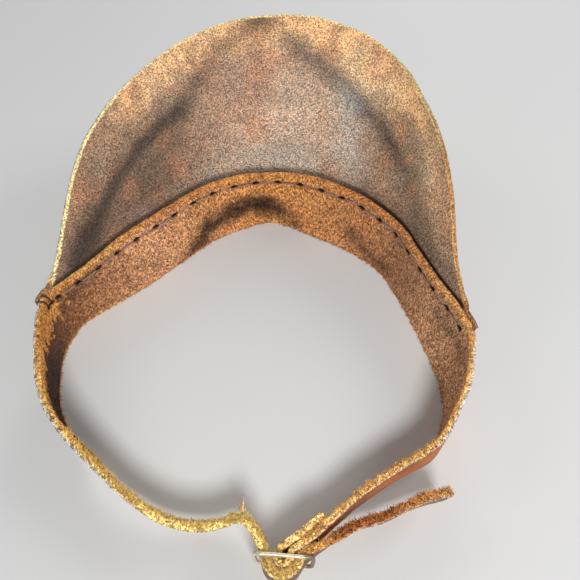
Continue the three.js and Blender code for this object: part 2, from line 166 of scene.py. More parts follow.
def catmull(points, u):
    """Centripetal Catmull-Rom curve through points, at station numbers u."""
    last = len(points) - 1
    i = np.clip(np.floor(u).astype(int), 0, last - 1)
    t = (u - i)[:, None]
    padded = np.vstack([2 * points[0] - points[1], points, 2 * points[-1] - points[-2]])
    p0, p1, p2, p3 = (padded[i + k] for k in range(4))

    def knot(a, b):
        return np.sqrt(np.linalg.norm(a - b, axis=1))[:, None]

    d0, d1, d2 = knot(p0, p1), knot(p1, p2), knot(p2, p3)
    d1 = np.where(d1 < 1e-4, 1.0, d1)
    d0 = np.where(d0 < 1e-4, d1, d0)
    d2 = np.where(d2 < 1e-4, d1, d2)
    m1 = ((p1 - p0) / d0 - (p2 - p0) / (d0 + d1) + (p2 - p1) / d1) * d1
    m2 = ((p2 - p1) / d1 - (p3 - p1) / (d1 + d2) + (p3 - p2) / d2) * d1
    return (
        p1 + m1 * t + (-3 * p1 + 3 * p2 - 2 * m1 - m2) * t ** 2
        + (2 * p1 - 2 * p2 + m1 + m2) * t ** 3
    )


class Wall:
    """The strip's upright walls at station numbers s."""

    def __init__(self, s):
        s = np.atleast_1d(np.asarray(s, float))
        self.centre, behind, ahead = (
            catmull(STATIONS[:, :2], np.clip(s + step, 0, STRIP_LAST)) for step in (0, -1e-3, 1e-3)
        )
        along = (ahead - behind) / np.linalg.norm(ahead - behind, axis=1)[:, None]
        self.out = np.column_stack([along[:, 1], -along[:, 0]])
        lean, height = catmull(STATIONS[:, 2:], s).T
        self.lean = np.radians(lean)
        self.low = np.maximum(0, MID_Z - height / 2)
        self.high = np.minimum(BAND_HEIGHT, MID_Z + height / 2)

    def on(self, z, distance):
        """Points at level z, at a distance outwards from the middle surface."""
        reach = (z - MID_Z) * np.tan(self.lean) + distance / np.cos(self.lean)
        xy = self.centre + self.out * np.reshape(reach, (-1, 1))
        return np.column_stack([xy, np.broadcast_to(z, len(xy))])

    def off(self, z, distance):
        """Points square off the middle surface, where that surface is at level z."""
        square = np.column_stack([self.out * np.cos(self.lean)[:, None], -np.sin(self.lean)])
        return self.on(z, 0) + square * np.reshape(distance, (-1, 1))


# Distance along the strip from the seam's middle, at every hundredth of a station.
FINE_S = np.linspace(0, STRIP_LAST, STRIP_LAST * 100 + 1)
_centres = Wall(FINE_S).centre
_run = np.concatenate([[0], np.cumsum(np.linalg.norm(np.diff(_centres, axis=0), axis=1))])
_first, _last = np.interp([SEAM_FIRST, SEAM_LAST], FINE_S, _run)
SEAM_HALF = (_last - _first) / 2
FINE_D = _run - (_first + _last) / 2


def station(distance):
    """Station number at a distance along the strip from the seam's middle."""
    return np.interp(distance, FINE_D, FINE_S)


def distance_of(s):
    return np.interp(s, FINE_S, FINE_D)


OUTLINE_POINTS = 601


def outline_points():
    """The brim's outline, as a smooth curve through its corners."""
    p = np.array(BRIM_OUTLINE, float)
    u = np.linspace(0, len(p) - 1, OUTLINE_POINTS)
    i = np.clip(np.floor(u).astype(int), 0, len(p) - 2)
    t = (u - i)[:, None]
    a, b = p[i], p[i + 1]
    va = (b - p[np.maximum(i - 1, 0)]) / 2
    vb = (p[np.minimum(i + 2, len(p) - 1)] - a) / 2
    return (2 * a - 2 * b + va + vb) * t ** 3 + (-3 * a + 3 * b - 2 * va - vb) * t ** 2 + va * t + a


OUTLINE = outline_points()
SEAM_Z = BAND_HEIGHT - SEAM_DROP
FLANGE_MIDDLE = STRIP_THICK / 2 + GAP + BRIM_THICK / 2
STACK_OUTSIDE = STRIP_THICK / 2 + GAP + BRIM_THICK


def brim_reach(distance):
    reach = np.interp(distance, OUTLINE[:, 0], OUTLINE[:, 1], BRIM_END_REACH, BRIM_END_REACH)
    return np.maximum(BRIM_END_REACH, reach)


# ------------------------------------------------------------------ places, noise and paint
_bar_low, _bar_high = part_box("buckle_bar")
OFFSET = np.array((_bar_low + _bar_high) / 2) * 1000 - np.array([*BAR, MID_Z])


def place(points):
    """Ring frame millimetres to row frame metres."""
    return (np.asarray(points) + OFFSET) / 1000


HASH = (374761393, 668265263, 2147483647, 144665, 1274126177)    # odd numbers that scatter the cells


def noise(points, size, seed):
    """Smooth noise in -1..1 at points; size is the width of a blotch."""
    p = np.atleast_2d(points) / size
    cell = np.floor(p).astype(np.int64)
    f = p - cell
    f = f * f * (3 - 2 * f)
    total = np.zeros(len(p))
    for corner in range(8):
        bits = np.array([(corner >> k) & 1 for k in range(3)])
        h = (cell + bits) @ np.array(HASH[:3]) + seed * HASH[3]
        h = (h ^ (h >> 13)) * HASH[4]
        h = h ^ (h >> 16)
        value = (h & 0xFFFFFF) / 0xFFFFFF
        total += value * np.prod(np.where(bits, f, 1 - f), axis=1)
    return total * 2 - 1


def along_noise(distance, size, seed):
    """Smooth noise in -1..1 along a line."""
    d = np.atleast_1d(distance).astype(float)
    return noise(np.column_stack([d, 0 * d, 0 * d]), size, seed)


def smooth(low, high, x):
    t = np.clip((x - low) / (high - low), 0, 1)
    return t * t * (3 - 2 * t)


def rgb(red, green, blue):
    """Linear colour of a display colour in 0..255."""
    c = np.array([red, green, blue]) / 255
    return np.where(c < 0.04045, c / 12.92, ((c + 0.055) / 1.055) ** 2.4)


def mix(base, colour, mask):
    """base, painted over with colour where mask is 1."""
    m = np.clip(mask, 0, 1)[:, None]
    return base * (1 - m) + colour * m


def layers(colour, *coats):
    """colour under coats of paint, each of them (linear colours or one display colour, mask)."""
    for coat, mask in coats:
        colour = mix(colour, rgb(*coat) if isinstance(coat, tuple) else coat, mask)
    return colour


def blob(x, y, centre, size):
    """Soft spot: 1 at its centre, 0.37 at size from it."""
    return np.exp(-((x - centre[0]) / size[0]) ** 2 - ((y - centre[1]) / size[1]) ** 2)


def stroke(x, y, path, width):
    """Soft brush stroke: 1 on the path, 0.37 at width from it."""
    p = np.column_stack([x, y])
    nearest = np.full(len(p), np.inf)
    for a, b in zip(np.array(path[:-1], float), np.array(path[1:], float)):
        ab = b - a
        t = np.clip((p - a) @ ab / (ab @ ab), 0, 1)
        nearest = np.minimum(nearest, np.linalg.norm(p - a - t[:, None] * ab, axis=1))
    return np.exp(-((nearest / width) ** 2))


# ------------------------------------------------------------------ meshes
def grid_faces(columns, rows, closed=False):
    """Quads of a grid whose rows go round, with columns one after the other."""
    c = np.arange(columns if closed else columns - 1)[:, None]
    r = np.arange(rows)[None, :]
    nc, nr = (c + 1) % columns, (r + 1) % rows
    quads = np.stack([c * rows + r, c * rows + nr, nc * rows + nr, nc * rows + r], axis=-1)
    return quads.reshape(-1, 4)


def tube_mesh(name, grid, materials, row_material=None, closed=False, tint=None, raw=None):
    """Closed mesh from a grid of points in mm: columns x rows, the rows going round."""
    columns, rows = grid.shape[:2]
    points = grid.reshape(-1, 3)
    quads = grid_faces(columns, rows, closed)
    a, b, c, d = (points[quads[:, k]] for k in range(4))
    volume = np.einsum("ij,ij->i", a, np.cross(b, c) + np.cross(c, d)).sum()
    caps = [] if closed else [list(range(rows))[::-1], list(range((columns - 1) * rows, columns * rows))]
    faces = quads.tolist() + caps
    if volume < 0:
        faces = [f[::-1] for f in faces]
    slots = np.zeros(len(faces), int)
    if row_material is not None:
        slots[: len(quads)] = np.tile(row_material, len(quads) // rows)
    mesh = bpy.data.meshes.new(name)
    mesh.from_pydata(place(points).tolist(), [], faces)
    return finish_mesh(name, mesh, points, materials, slots, tint, raw)


BRIGHTEST = 0.95                  # the most that any channel of a tint may hold


def finish_mesh(name, mesh, points, materials, slots=None, tint=None, raw=None):
    """Smooth shading, material slots and the painted attributes, as a new object."""
    mesh.polygons.foreach_set("use_smooth", np.ones(len(mesh.polygons), bool))
    for material in materials:
        mesh.materials.append(material)
    if slots is not None:
        mesh.polygons.foreach_set("material_index", slots.astype(np.int32))
    painted = [("spot", "FLOAT_VECTOR", "vector", points)]
    if tint is not None:
        tint = tint / np.maximum(1, tint.max(axis=1) / BRIGHTEST)[:, None]
        rgba = np.column_stack([np.clip(tint, 0, 1), np.ones(len(points))])
        painted.append(("tint", "FLOAT_COLOR", "color", rgba))
    if raw is not None:
        painted.append(("raw", "FLOAT", "value", raw))
    for attribute, kind, field, values in painted:
        data = mesh.attributes.new(attribute, kind, "POINT").data
        data.foreach_set(field, values.astype(np.float32).ravel())
    mesh.update()
    obj = bpy.data.objects.new(name, mesh)
    bpy.context.scene.collection.objects.link(obj)
    return obj


# ------------------------------------------------------------------ materials
class Net:
    """One node material, with short calls for the nodes used here."""

    def __init__(self, name, roughness, specular=0.5, tinted=True, **sockets):
        self.material = bpy.data.materials.new(name)
        self.material.use_nodes = True
        self.tree = self.material.node_tree
        self.shader = self.tree.nodes["Principled BSDF"]
        sockets = {"Roughness": roughness, "Specular IOR Level": specular, **sockets}
        for socket, value in sockets.items():
            self.shader.inputs[socket.replace("_", " ")].default_value = value
        self.spot = self.attribute("spot", "Vector")
        self.tint = self.attribute("tint", "Color") if tinted else None

    def node(self, kind, inputs, **settings):
        node = self.tree.nodes.new(kind)
        for key, value in settings.items():
            setattr(node, key, value)
        for socket, value in inputs.items():
            if isinstance(value, bpy.types.NodeSocket):
                self.tree.links.new(value, node.inputs[socket])
            else:
                node.inputs[socket].default_value = value
        return node

    def attribute(self, name, output):
        return self.node("ShaderNodeAttribute", {}, attribute_name=name).outputs[output]

    def noise(self, per_mm, detail, roughness=0.6, distortion=0.0, vector=None):
        sockets = {
            "Vector": vector or self.spot, "Scale": per_mm, "Detail": detail,
            "Roughness": roughness, "Distortion": distortion,
        }
        return self.node("ShaderNodeTexNoise", sockets).outputs["Fac"]

    def stretched(self, x, y, z):
        sockets = {"Vector": self.spot, "Scale": (x, y, z)}
        return self.node("ShaderNodeMapping", sockets).outputs["Vector"]

    def levels(self, value, low, high, out_low=0.0, out_high=1.0):
        """out_low..out_high, as value goes from low to high."""
        sockets = {
            "Value": value, "From Min": low, "From Max": high, "To Min": out_low, "To Max": out_high,
        }
        return self.node("ShaderNodeMapRange", sockets, interpolation_type="SMOOTHSTEP").outputs["Result"]

    def math(self, operation, a, b):
        return self.node("ShaderNodeMath", {0: a, 1: b}, operation=operation).outputs[0]

    def mix(self, factor, a, b, blend="MIX"):
        a, b = ((*colour, 1) if isinstance(colour, tuple) else colour for colour in (a, b))
        sockets = {0: factor, 6: a, 7: b}
        return self.node("ShaderNodeMix", sockets, data_type="RGBA", blend_type=blend).outputs[2]

    def times(self, colour, factor):
        return self.mix(1.0, colour, factor, "MULTIPLY")

    def shade(self, colour, value, *span):
        """colour, darker or brighter by the levels of value."""
        level = self.levels(value, *span)
        grey = self.node("ShaderNodeCombineColor", {0: level, 1: level, 2: level}).outputs[0]
        return self.times(colour, grey)

    def cover(self, colour, value, low, high, share, factor, base=None):
        """colour, covered up to share with factor times base, as value goes from low to high."""
        cover = self.times(base or self.tint, factor)
        return self.mix(self.levels(value, low, high, 0, share), colour, cover)

    def out(self, colour, roughness=None, height=None, depth_mm=0.3, strength=1.0):
        self.tree.links.new(colour, self.shader.inputs["Base Color"])
        if roughness is not None:
            self.tree.links.new(roughness, self.shader.inputs["Roughness"])
        if height is not None:
            sockets = {"Height": height, "Distance": depth_mm / 1000, "Strength": strength}
            bump = self.node("ShaderNodeBump", sockets)
            self.tree.links.new(bump.outputs["Normal"], self.shader.inputs["Normal"])
        return self.material


def flesh_material():
    """The flesh side and raw edges of the band leather: suede nap over mottled brown."""
    net = Net("flesh_suede", 0.92, 0.2, Sheen_Weight=0.08, Sheen_Roughness=0.5)
    upright = net.stretched(1.0, 1.0, 0.6)
    grain = net.noise(0.9, 4, 0.7, 1.6, upright)
    fleck = net.noise(1.15, 2, 0.5, 0.8, upright)
    colour = net.shade(net.tint, net.noise(0.4, 4, 0.6, 0.6), 0.32, 0.68, 0.75, 1.25)
    nap = net.mix(net.levels(grain, 0.40, 0.60), (0.42, 0.30, 0.24), (1.75, 1.7, 1.6))
    colour = net.times(colour, nap)
    colour = net.cover(colour, fleck, 0.55, 0.63, 0.85, (2.6, 2.4, 1.9))
    colour = net.cover(colour, fleck, 0.44, 0.36, 0.8, (0.34, 0.21, 0.15))
    height = net.math("ADD", grain, net.math("MULTIPLY", fleck, 0.7))
    return net.out(colour, height=height, depth_mm=0.6, strength=0.9)


def grain_material():
    """The smooth side of the band leather, with fine creases and rubbed marks."""
    net = Net("band_grain", 0.6, 0.25)
    sockets = {"Vector": net.spot, "Scale": 1.3}
    pebble = net.node("ShaderNodeTexVoronoi", sockets).outputs["Distance"]
    crease = net.noise(0.5, 5, 0.65, 1.5)
    wrinkle = net.noise(0.35, 5, 0.6, 2.5, net.stretched(1.0, 1.0, 0.45))
    colour = net.shade(net.tint, net.noise(0.09, 4), 0.3, 0.7, 0.85, 1.15)
    colour = net.cover(colour, crease, 0.6, 0.8, 0.4, (1.6, 1.35, 1.1))
    colour = net.cover(colour, wrinkle, 0.44, 0.36, 0.5, (0.45, 0.38, 0.34))
    colour = net.cover(colour, pebble, 0.6, 0.9, 0.3, (0.4, 0.35, 0.3))
    height = net.math("SUBTRACT", net.math("MULTIPLY", crease, 0.7), net.math("MULTIPLY", pebble, 0.6))
    return net.out(colour, net.levels(crease, 0.3, 0.7, 0.5, 0.7), height, 0.25, 0.6)


def brim_material():
    """The brim's face: burnished, mottled leather, rubbed through in a fine speckle, with white specks of
    painted sparkle.
    """
    net = Net("brim_face", 0.5, 0.4)
    speckle = net.noise(1.25, 3, 0.65, 0.8)
    fine = net.noise(1.7, 2, 0.5, 0.6)
    hue = net.noise(0.75, 4, 0.75, 0.3)
    colour = net.shade(net.tint, speckle, 0.40, 0.60, 0.38, 1.7)
    colour = net.cover(colour, hue, 0.52, 0.62, 0.75, (1.35, 0.92, 0.6), colour)
    colour = net.cover(colour, hue, 0.48, 0.38, 0.75, (0.78, 0.94, 1.1), colour)
    # white specks: painted sparkle of the burnished face
    colour = net.cover(colour, fine, 0.55, 0.65, 0.8, (2.6, 2.5, 2.35))
    colour = net.cover(colour, fine, 0.44, 0.35, 0.75, (0.42, 0.33, 0.28))
    height = net.math("ADD", net.math("MULTIPLY", speckle, 0.8), net.math("MULTIPLY", fine, 0.5))
    raw = net.math("MULTIPLY", net.attribute("raw", "Fac"), 0.3)
    rough = net.math("ADD", net.levels(speckle, 0.35, 0.65, 0.62, 0.48), raw)
    return net.out(colour, rough, height, 0.4, 0.8)


def fibre_material():
    net = Net("leather_fibre", 0.85, 0.3)
    return net.out(net.shade(net.tint, net.noise(0.8, 2), 0.3, 0.7, 0.75, 1.25))


def thread_material():
    net = Net("waxed_thread", 0.75, 0.25)
    strands = net.noise(4.0, 2, 0.6, 0.4)
    colour = net.shade(net.tint, net.noise(0.5, 3), 0.35, 0.7, 0.75, 1.3)
    colour = net.shade(colour, strands, 0.35, 0.65, 0.7, 1.3)
    return net.out(colour, height=strands, depth_mm=0.12, strength=0.6)


def wire_material():
    """Bright wire gone dull, darker towards its right end."""
    net = Net("buckle_wire", 0.42, tinted=False, Metallic=0.7)
    tarnish = net.noise(0.55, 4, 0.65, 0.5)
    scratch = net.noise(6.0, 2, 0.5, 0.0, net.stretched(0.25, 1.0, 1.0))
    across = net.node("ShaderNodeSeparateXYZ", {"Vector": net.spot}).outputs["X"]
    end = net.levels(across, BAR[0] + 6.8, BAR[0] + 9.0, 0, 0.85)
    dirt = net.math("MAXIMUM", end, net.levels(tarnish, 0.58, 0.72, 0, 0.7))
    colour = net.mix(dirt, tuple(rgb(240, 228, 200)), tuple(rgb(122, 108, 90)))
    rough = net.math("ADD", net.levels(tarnish, 0.3, 0.7, 0.22, 0.4), net.math("MULTIPLY", dirt, 0.2))
    return net.out(colour, rough, scratch, 0.05, 0.3)


FLESH, GRAIN, BRIM_FACE = flesh_material(), grain_material(), brim_material()
FIBRE, THREAD, WIRE = fibre_material(), thread_material(), wire_material()

# ------------------------------------------------------------------ the strip's cross-section
EDGE_ROUND = 0.9                  # rounding of the cut edges
EDGE_SQUARE = 0.62                # below 1, a squarer edge than a half circle
EDGE_ANGLES = np.radians([16, 36, 60, 90, 120, 144, 164])
ARC_ACROSS = -np.sign(np.cos(EDGE_ANGLES)) * np.abs(np.cos(EDGE_ANGLES)) ** EDGE_SQUARE
ARC_RISE = np.sin(EDGE_ANGLES) ** EDGE_SQUARE
INNER, EDGE_TOP, OUTER, EDGE_LOW = range(4)
FACE_ROWS = np.unique(np.round(np.concatenate([np.linspace(0, 1, 40), np.linspace(0.79, 0.93, 12)]), 3))
OUTER_ROWS = np.linspace(1, 0, 24)
COLUMN_STEP = 0.68
END_ROUND = np.array((0.12, 0.35, 0.7))     # extra columns near the strip's two cut ends

# Rows round the strip: which side, height share, across -1..1, share of the edge rounding.
ROWS = np.array(
    [(INNER, f, -1, 0) for f in FACE_ROWS]
    + [(EDGE_TOP, 1, a, r) for a, r in zip(ARC_ACROSS, ARC_RISE)]
    + [(OUTER, f, 1, 0) for f in OUTER_ROWS]
    + [(EDGE_LOW, 0, -a, r) for a, r in zip(ARC_ACROSS, ARC_RISE)]
)
HOLE_D = np.linspace(SEAM_MARGIN - SEAM_HALF, TACKS[0] - TACK_MARGIN, SEAM_HOLES)
ALL_HOLES = np.concatenate([HOLE_D, TACKS])


def hole_field(d, z, radius):
    """1 in the middle of a stitch hole, 0 away from it."""
    near = np.min(np.abs(d[:, None] - ALL_HOLES), axis=1)
    return np.exp(-((near / radius) ** 2) - ((z - SEAM_Z) / radius) ** 2)


def groove_field(d, z):
    """1 on the stitch line, between its first hole and the edge turns of thread."""
    ends = smooth(HOLE_D[0] - 2, HOLE_D[0], d) * (1 - smooth(TACKS[1], TACKS[1] + 2, d))
    return np.exp(-(((z - SEAM_Z) / 0.85) ** 2)) * ends


def in_fold(d):
    """1 inside the turn round the buckle's bar, 0 elsewhere on the strip."""
    run = d - FINE_D[0]
    return smooth(11, 15, run) * (1 - smooth(37, 41, run))


# Colours along the strip, at distances from the seam's middle: (distance, display colour).
FLESH_COLOURS = [
    (-303, 196, 158, 100), (-262, 186, 146, 92), (-200, 176, 134, 88), (-188, 176, 134, 92),
    (-160, 198, 156, 120), (-120, 185, 145, 112), (-90, 154, 115, 85), (-60, 177, 129, 91),
    (-20, 200, 144, 91), (15, 208, 151, 94), (45, 194, 145, 101), (75, 191, 146, 113),
    (100, 175, 130, 96), (125, 142, 98, 64), (145, 94, 60, 36), (160, 58, 35, 21),
    (200, 60, 38, 23), (230, 124, 90, 52), (265, 190, 156, 90), (330, 196, 152, 94),
    (360, 176, 122, 80), (401, 160, 112, 76),
]
EDGE_COLOURS = [
    (-303, 240, 206, 138), (-200, 222, 182, 116), (-140, 206, 158, 102), (-60, 188, 128, 78),
    (0, 204, 148, 84), (60, 192, 132, 82), (100, 206, 158, 94), (125, 200, 148, 84),
    (160, 202, 152, 84), (220, 232, 204, 124), (270, 255, 238, 160), (303, 255, 236, 158),
    (330, 255, 230, 154), (338, 244, 200, 124), (352, 190, 130, 76), (372, 182, 122, 70),
    (388, 212, 160, 94), (401, 220, 184, 122),
]
GRAIN_COLOURS = [
    (-303, 150, 92, 60), (-262, 160, 96, 62), (-250, 200, 122, 74), (-170, 196, 116, 68),
    (-145, 128, 82, 56), (0, 104, 74, 56), (140, 104, 82, 70), (230, 104, 82, 74),
    (300, 118, 88, 80), (350, 150, 112, 98), (401, 140, 102, 88),
]
# Dark arch on the front of the band, from the lower edge: painted shade under the band's bulge there, and
# a stain.
SHADE_AND_STAIN_ARCH = [(52, 1), (44, 10), (35, 14), (24, 16), (13, 17), (3, 13), (-6, 9), (-15, 2)]


def colours_along(stops, d):
    at, *channels = np.array(stops, float).T
    linear = rgb(*channels)
    return np.column_stack([np.interp(d, at, channel) for channel in linear])


def strip_paint(side, d, z, across, low, high, spots):
    """Colour of the strip's surface."""
    def blotch(size, seed):
        return noise(spots, size, seed)

    flesh, edge, grain = (
        colours_along(stops, d) for stops in (FLESH_COLOURS, EDGE_COLOURS, GRAIN_COLOURS)
    )
    streaks = noise(np.column_stack([d / 1.6, z / 9, 0 * d]), 1, 21)
    blotches = blotch(11, 22)
    broken = 1 + 0.35 * blotch(5, 28) + 0.3 * blotch(2, 29)
    swayed = d + 3 * blotch(7, 30), z + 2 * blotch(5, 34)
    depth = 17 + 14 * (1 - smooth(150, 178, d))
    left_top = smooth(118, 136, d) * (1 - smooth(226, 236, d)) * smooth(high - depth, high - 2, z)
    flecks = 0.2 * streaks + 0.6 * blotch(1.3, 27) + 0.5 * blotch(3.4, 32)
    flesh = layers(
        flesh,
        ((214, 156, 88), blob(d, z, (2, 27), (42, 5)) * 0.5),
        # dark arch: painted shade under the band's bulge, and a stain
        ((84, 60, 42), stroke(*swayed, SHADE_AND_STAIN_ARCH, 6.0) * 0.9 * broken),
        ((64, 40, 26), stroke(*swayed, SHADE_AND_STAIN_ARCH[3:6], 6.2) * 0.9 * broken),
        ((74, 52, 36), stroke(*swayed, SHADE_AND_STAIN_ARCH[:4], 5.5) * 0.85),
        ((100, 74, 52), stroke(*swayed, [(-50, 12), (-62, 6), (-76, 7)], 5.0) * 0.7 * broken),
        ((92, 66, 48), stroke(d, z, [(112, 34), (122, 27), (131, 26)], 4) * 0.7),
        ((92, 70, 54), stroke(d, z, [(-120, 24), (-134, 26), (-146, 27)], 4) * 0.5),
        ((206, 148, 76), smooth(-0.2, 0.3, flecks + 1.9 * left_top - 1.15) * (left_top > 0)),
        (edge, smooth(high - 3.4, high - 1.2, z + 0.9 * blotches + 0.5 * streaks) * 0.8),
        (edge, smooth(low + 2.6, low + 0.8, z + 0.6 * streaks) * 0.75),
        # darker inside the turn round the bar: painted shade of the fold
        ((70, 48, 30), in_fold(d) * 0.75),
    )
    flesh = layers(
        flesh * (1 + 0.16 * blotches[:, None]),
        # near-black stitch holes: painted shade inside them
        ((124, 92, 78), groove_field(d, z) * 0.85), ((10, 7, 5), hole_field(d, z, 1.08) * 2.0),
    )
    # A line along the grain side of the cut edges: purple-brown, and pale to near-white where it is a
    # painted highlight of the rounded corner.
    left = smooth(118, 140, d) * (1 - smooth(232, 256, d)) + smooth(-141, -147, d) * smooth(-200, -190, d)
    pale = np.maximum(left, np.maximum(smooth(-196, -206, d), smooth(352, 360, d)))
    on_tail = smooth(346, 356, d)
    line = layers(
        np.tile(rgb(124, 88, 80), (len(d), 1)),
        ((206, 186, 158), pale), ((206, 204, 198), left), ((176, 146, 132), on_tail),
    )
    ragged = blotch(1.8, 25)
    wide = 0.55 - 0.25 * left - 0.3 * on_tail
    strength = 0.45 + 0.3 * pale + 0.25 * left + 0.15 * on_tail
    gaps = smooth(0.0, 0.45, blotch(1.5, 26)) * smooth(344, 356, d) * smooth(401, 392, d)
    left_gaps = smooth(0.1, 0.5, ragged) * smooth(126, 150, d) * (1 - smooth(205, 222, d))
    edge = layers(
        edge * (1 + 0.18 * blotch(2.2, 23)[:, None]),
        (line, smooth(wide, wide + 0.25, across + 0.12 * ragged) * strength),
        ((72, 42, 26), gaps * (across < 0.5) * 0.85), ((96, 62, 36), left_gaps * 0.8),
    )
    rub = np.maximum(smooth(high - 1.6, high - 0.9, z), smooth(low + 1.6, low + 0.9, z))
    grain = layers(
        grain * (1 + 0.15 * blotches[:, None]),
        ((196, 170, 150), rub * smooth(-0.2, 0.5, blotch(3, 24)) * 0.45),
    )
    return np.choose(side.astype(int)[:, None], [flesh, edge, grain, edge])


def strip_piece(name, first, last):
    """The strip from station first to station last, as one closed mesh."""
    begin, end = distance_of(np.array([first, last], float))
    cut_ends = [(begin, 1)] if first == 0 else [(end, -1)]    # where, and the way inwards
    d = np.linspace(begin, end, int(math.ceil((end - begin) / COLUMN_STEP)) + 1)
    d = np.sort(np.concatenate([d] + [at + inwards * END_ROUND for at, inwards in cut_ends]))
    s = station(d)
    s[0], s[-1] = first, last
    wall = Wall(s)
    strap = 0.5 + 0.7 * (smooth(-150, -190, d) + smooth(205, 235, d))
    high = wall.high + strap * (0.4 * along_noise(d, 8, 11) + 0.22 * along_noise(d, 2.3, 12))
    rise = 0.4 * along_noise(d, 7, 13) + 0.22 * along_noise(d, 2.1, 14)
    low = np.maximum(0, wall.low + strap * (rise + 0.3))
    side, share, across, corner = ROWS.T
    z = low[:, None] + EDGE_ROUND + share * (high - low - 2 * EDGE_ROUND)[:, None]
    z = z + EDGE_ROUND * corner * np.where(side == EDGE_TOP, 1, -1)
    half = np.full(len(d), STRIP_THICK / 2)
    for at, _ in cut_ends:
        inside = 1 - np.clip(np.abs(d - at) / END_ROUND[-1], 0, 1)
        half = half * (0.6 + 0.4 * np.sqrt(1 - inside ** 2))
    lean = np.tan(wall.lean)[:, None]
    cosine = np.cos(wall.lean)[:, None]

    def points(distance):
        reach = (z - MID_Z) * lean + distance / cosine
        xy = wall.centre[:, None, :] + wall.out[:, None, :] * reach[:, :, None]
        return np.concatenate([xy, z[:, :, None]], axis=2)

    distance = across * half[:, None]
    spots = points(distance).reshape(-1, 3)
    wide = len(side)
    sides = np.tile(side, len(d))
    dd, zz = np.repeat(d, wide), z.ravel()
    nap = 0.13 * noise(spots, 2.4, 1) + 0.08 * noise(spots, 1.1, 2) + 0.25 * noise(spots, 14, 3)
    sunk = 0.55 * groove_field(dd, zz) + 1.8 * hole_field(dd, zz, 1.15)
    outer_shift = 0.05 * noise(spots, 4, 4) - 0.1 * sunk
    shift = np.where(sides == INNER, sunk - nap, np.where(sides == OUTER, outer_shift, 0))
    grid = points(distance + shift.reshape(z.shape))
    spots = grid.reshape(-1, 3)
    frayed = np.isin(sides, (EDGE_TOP, EDGE_LOW))[:, None]
    jitter = np.column_stack([
        0.2 * noise(spots, 1.5, 5 + k) + 0.1 * noise(spots, 0.8, 8 + k) for k in range(3)
    ])
    moved = spots + np.where(frayed, jitter, 0)
    moved[:, 2] = np.maximum(moved[:, 2], 0)
    tint = strip_paint(
        sides, dd, zz, np.tile(across, len(d)), np.repeat(low, wide), np.repeat(high, wide), spots
    )
    materials = np.where(side == OUTER, 1, 0)
    return tube_mesh(name, moved.reshape(grid.shape), [FLESH, GRAIN], materials, tint=tint)


# ------------------------------------------------------------------ the brim
BRIM_COLUMNS = 400
GATHER = 1.45                     # closer columns towards the brim's steep ends
FLANGE_ROWS, BEND_ROWS, BRIM_ROWS = 10, 8, 78
BRIM_HALF = BRIM_THICK / 2
SLOPE = np.array([0, math.cos(BRIM_SLOPE), math.sin(BRIM_SLOPE)])
FACE, RIM, BACK = range(3)
MEASURED_AT_ONCE = 4000           # points, in edge_distance

# Along the seam: distance, crease point, and the line that the flange's plain ends follow.
CREASE_D = np.linspace(-SEAM_HALF, SEAM_HALF, 2801)
seam_wall = Wall(station(CREASE_D))
CREASE = seam_wall.on(BAND_HEIGHT, FLANGE_MIDDLE)
UPRIGHT = seam_wall.on(BAND_HEIGHT, 0) - seam_wall.on(0, 0)
UPRIGHT /= np.linalg.norm(UPRIGHT, axis=1)[:, None]


def lookup(table, d):
    return np.stack([np.interp(d, CREASE_D, table[:, k]) for k in range(3)], axis=-1)


def rise_at(d, reach):
    """Direction out of the crease: the brim's slope, turning upright at its ends."""
    w = smooth(1.0, 5.0, reach)[..., None]
    rise = lookup(UPRIGHT, d) * (1 - w) + SLOPE * w
    return rise / np.linalg.norm(rise, axis=-1)[..., None]


# Strokes on the face, through (distance, reach): dark bands, which also lie along shallow valleys, a
# paler worn streak, and a pale streak of painted sheen.
DARK_LEFT = [
    (49.5, 43.5), (66.5, 40), (80.5, 32.5), (87, 27.5), (95, 21), (101.5, 15.5),
    (108, 9), (116, 3.5),
]
DARK_LEFT_TOP = [(6, 78), (20, 71), (29, 66), (36, 58), (43, 49), (49.5, 43.5)]
DARK_RIGHT = [(-46, 44), (-52, 42), (-59, 39), (-67, 33), (-74, 27)]
DARK_RIGHT_TOP = [(-8, 68), (-20, 59), (-31, 54), (-42, 46)]
WORN_RIGHT = [(-66, 51), (-73, 43), (-78, 34), (-84, 23)]
SHEEN_RIGHT = [(-39, 42), (-41, 30), (-38, 18)]

# Soft patches of the face: display colour, centre, size, strength. The pale ones in the middle and the
# grey one along the seam are painted sheen.
SHEEN_AND_PATCHES = [
    ((188, 152, 124), (-2, 34), (36, 34), 1.1), ((216, 190, 164), (-10, 34), (20, 24), 0.6),
    ((166, 158, 144), (-6, 6), (38, 11), 0.7), ((98, 74, 56), (70, 16), (30, 24), 0.95),
    ((146, 120, 96), (-92, 14), (26, 18), 0.8), ((124, 94, 70), (109, 28), (9, 18), 0.85),
    ((196, 172, 140), (-104, 44), (16, 22), 0.9),
]
DARK_PATCHES = [
    ((140, 100, 78), (10, 44), (13, 15), 0.6), ((116, 88, 68), (52, 30), (10, 10), 0.4),
    ((104, 78, 64), (8, 80), (7, 6), 0.8),
]


def patch_coats(d, r, patches):
    return [(colour, blob(d, r, centre, size) * strength) for colour, centre, size, strength in patches]


def edge_distance(d, r):
    """Distance in the flat brim from its outline, at least 0."""
    line = np.vstack([(OUTLINE[0, 0], 0), OUTLINE, (OUTLINE[-1, 0], 0)])
    points = np.column_stack([d, r])
    return np.concatenate([
        np.sqrt(((chunk[:, None] - line) ** 2).sum(axis=2).min(axis=1))
        for chunk in np.array_split(points, max(1, len(points) // MEASURED_AT_ONCE))
    ])


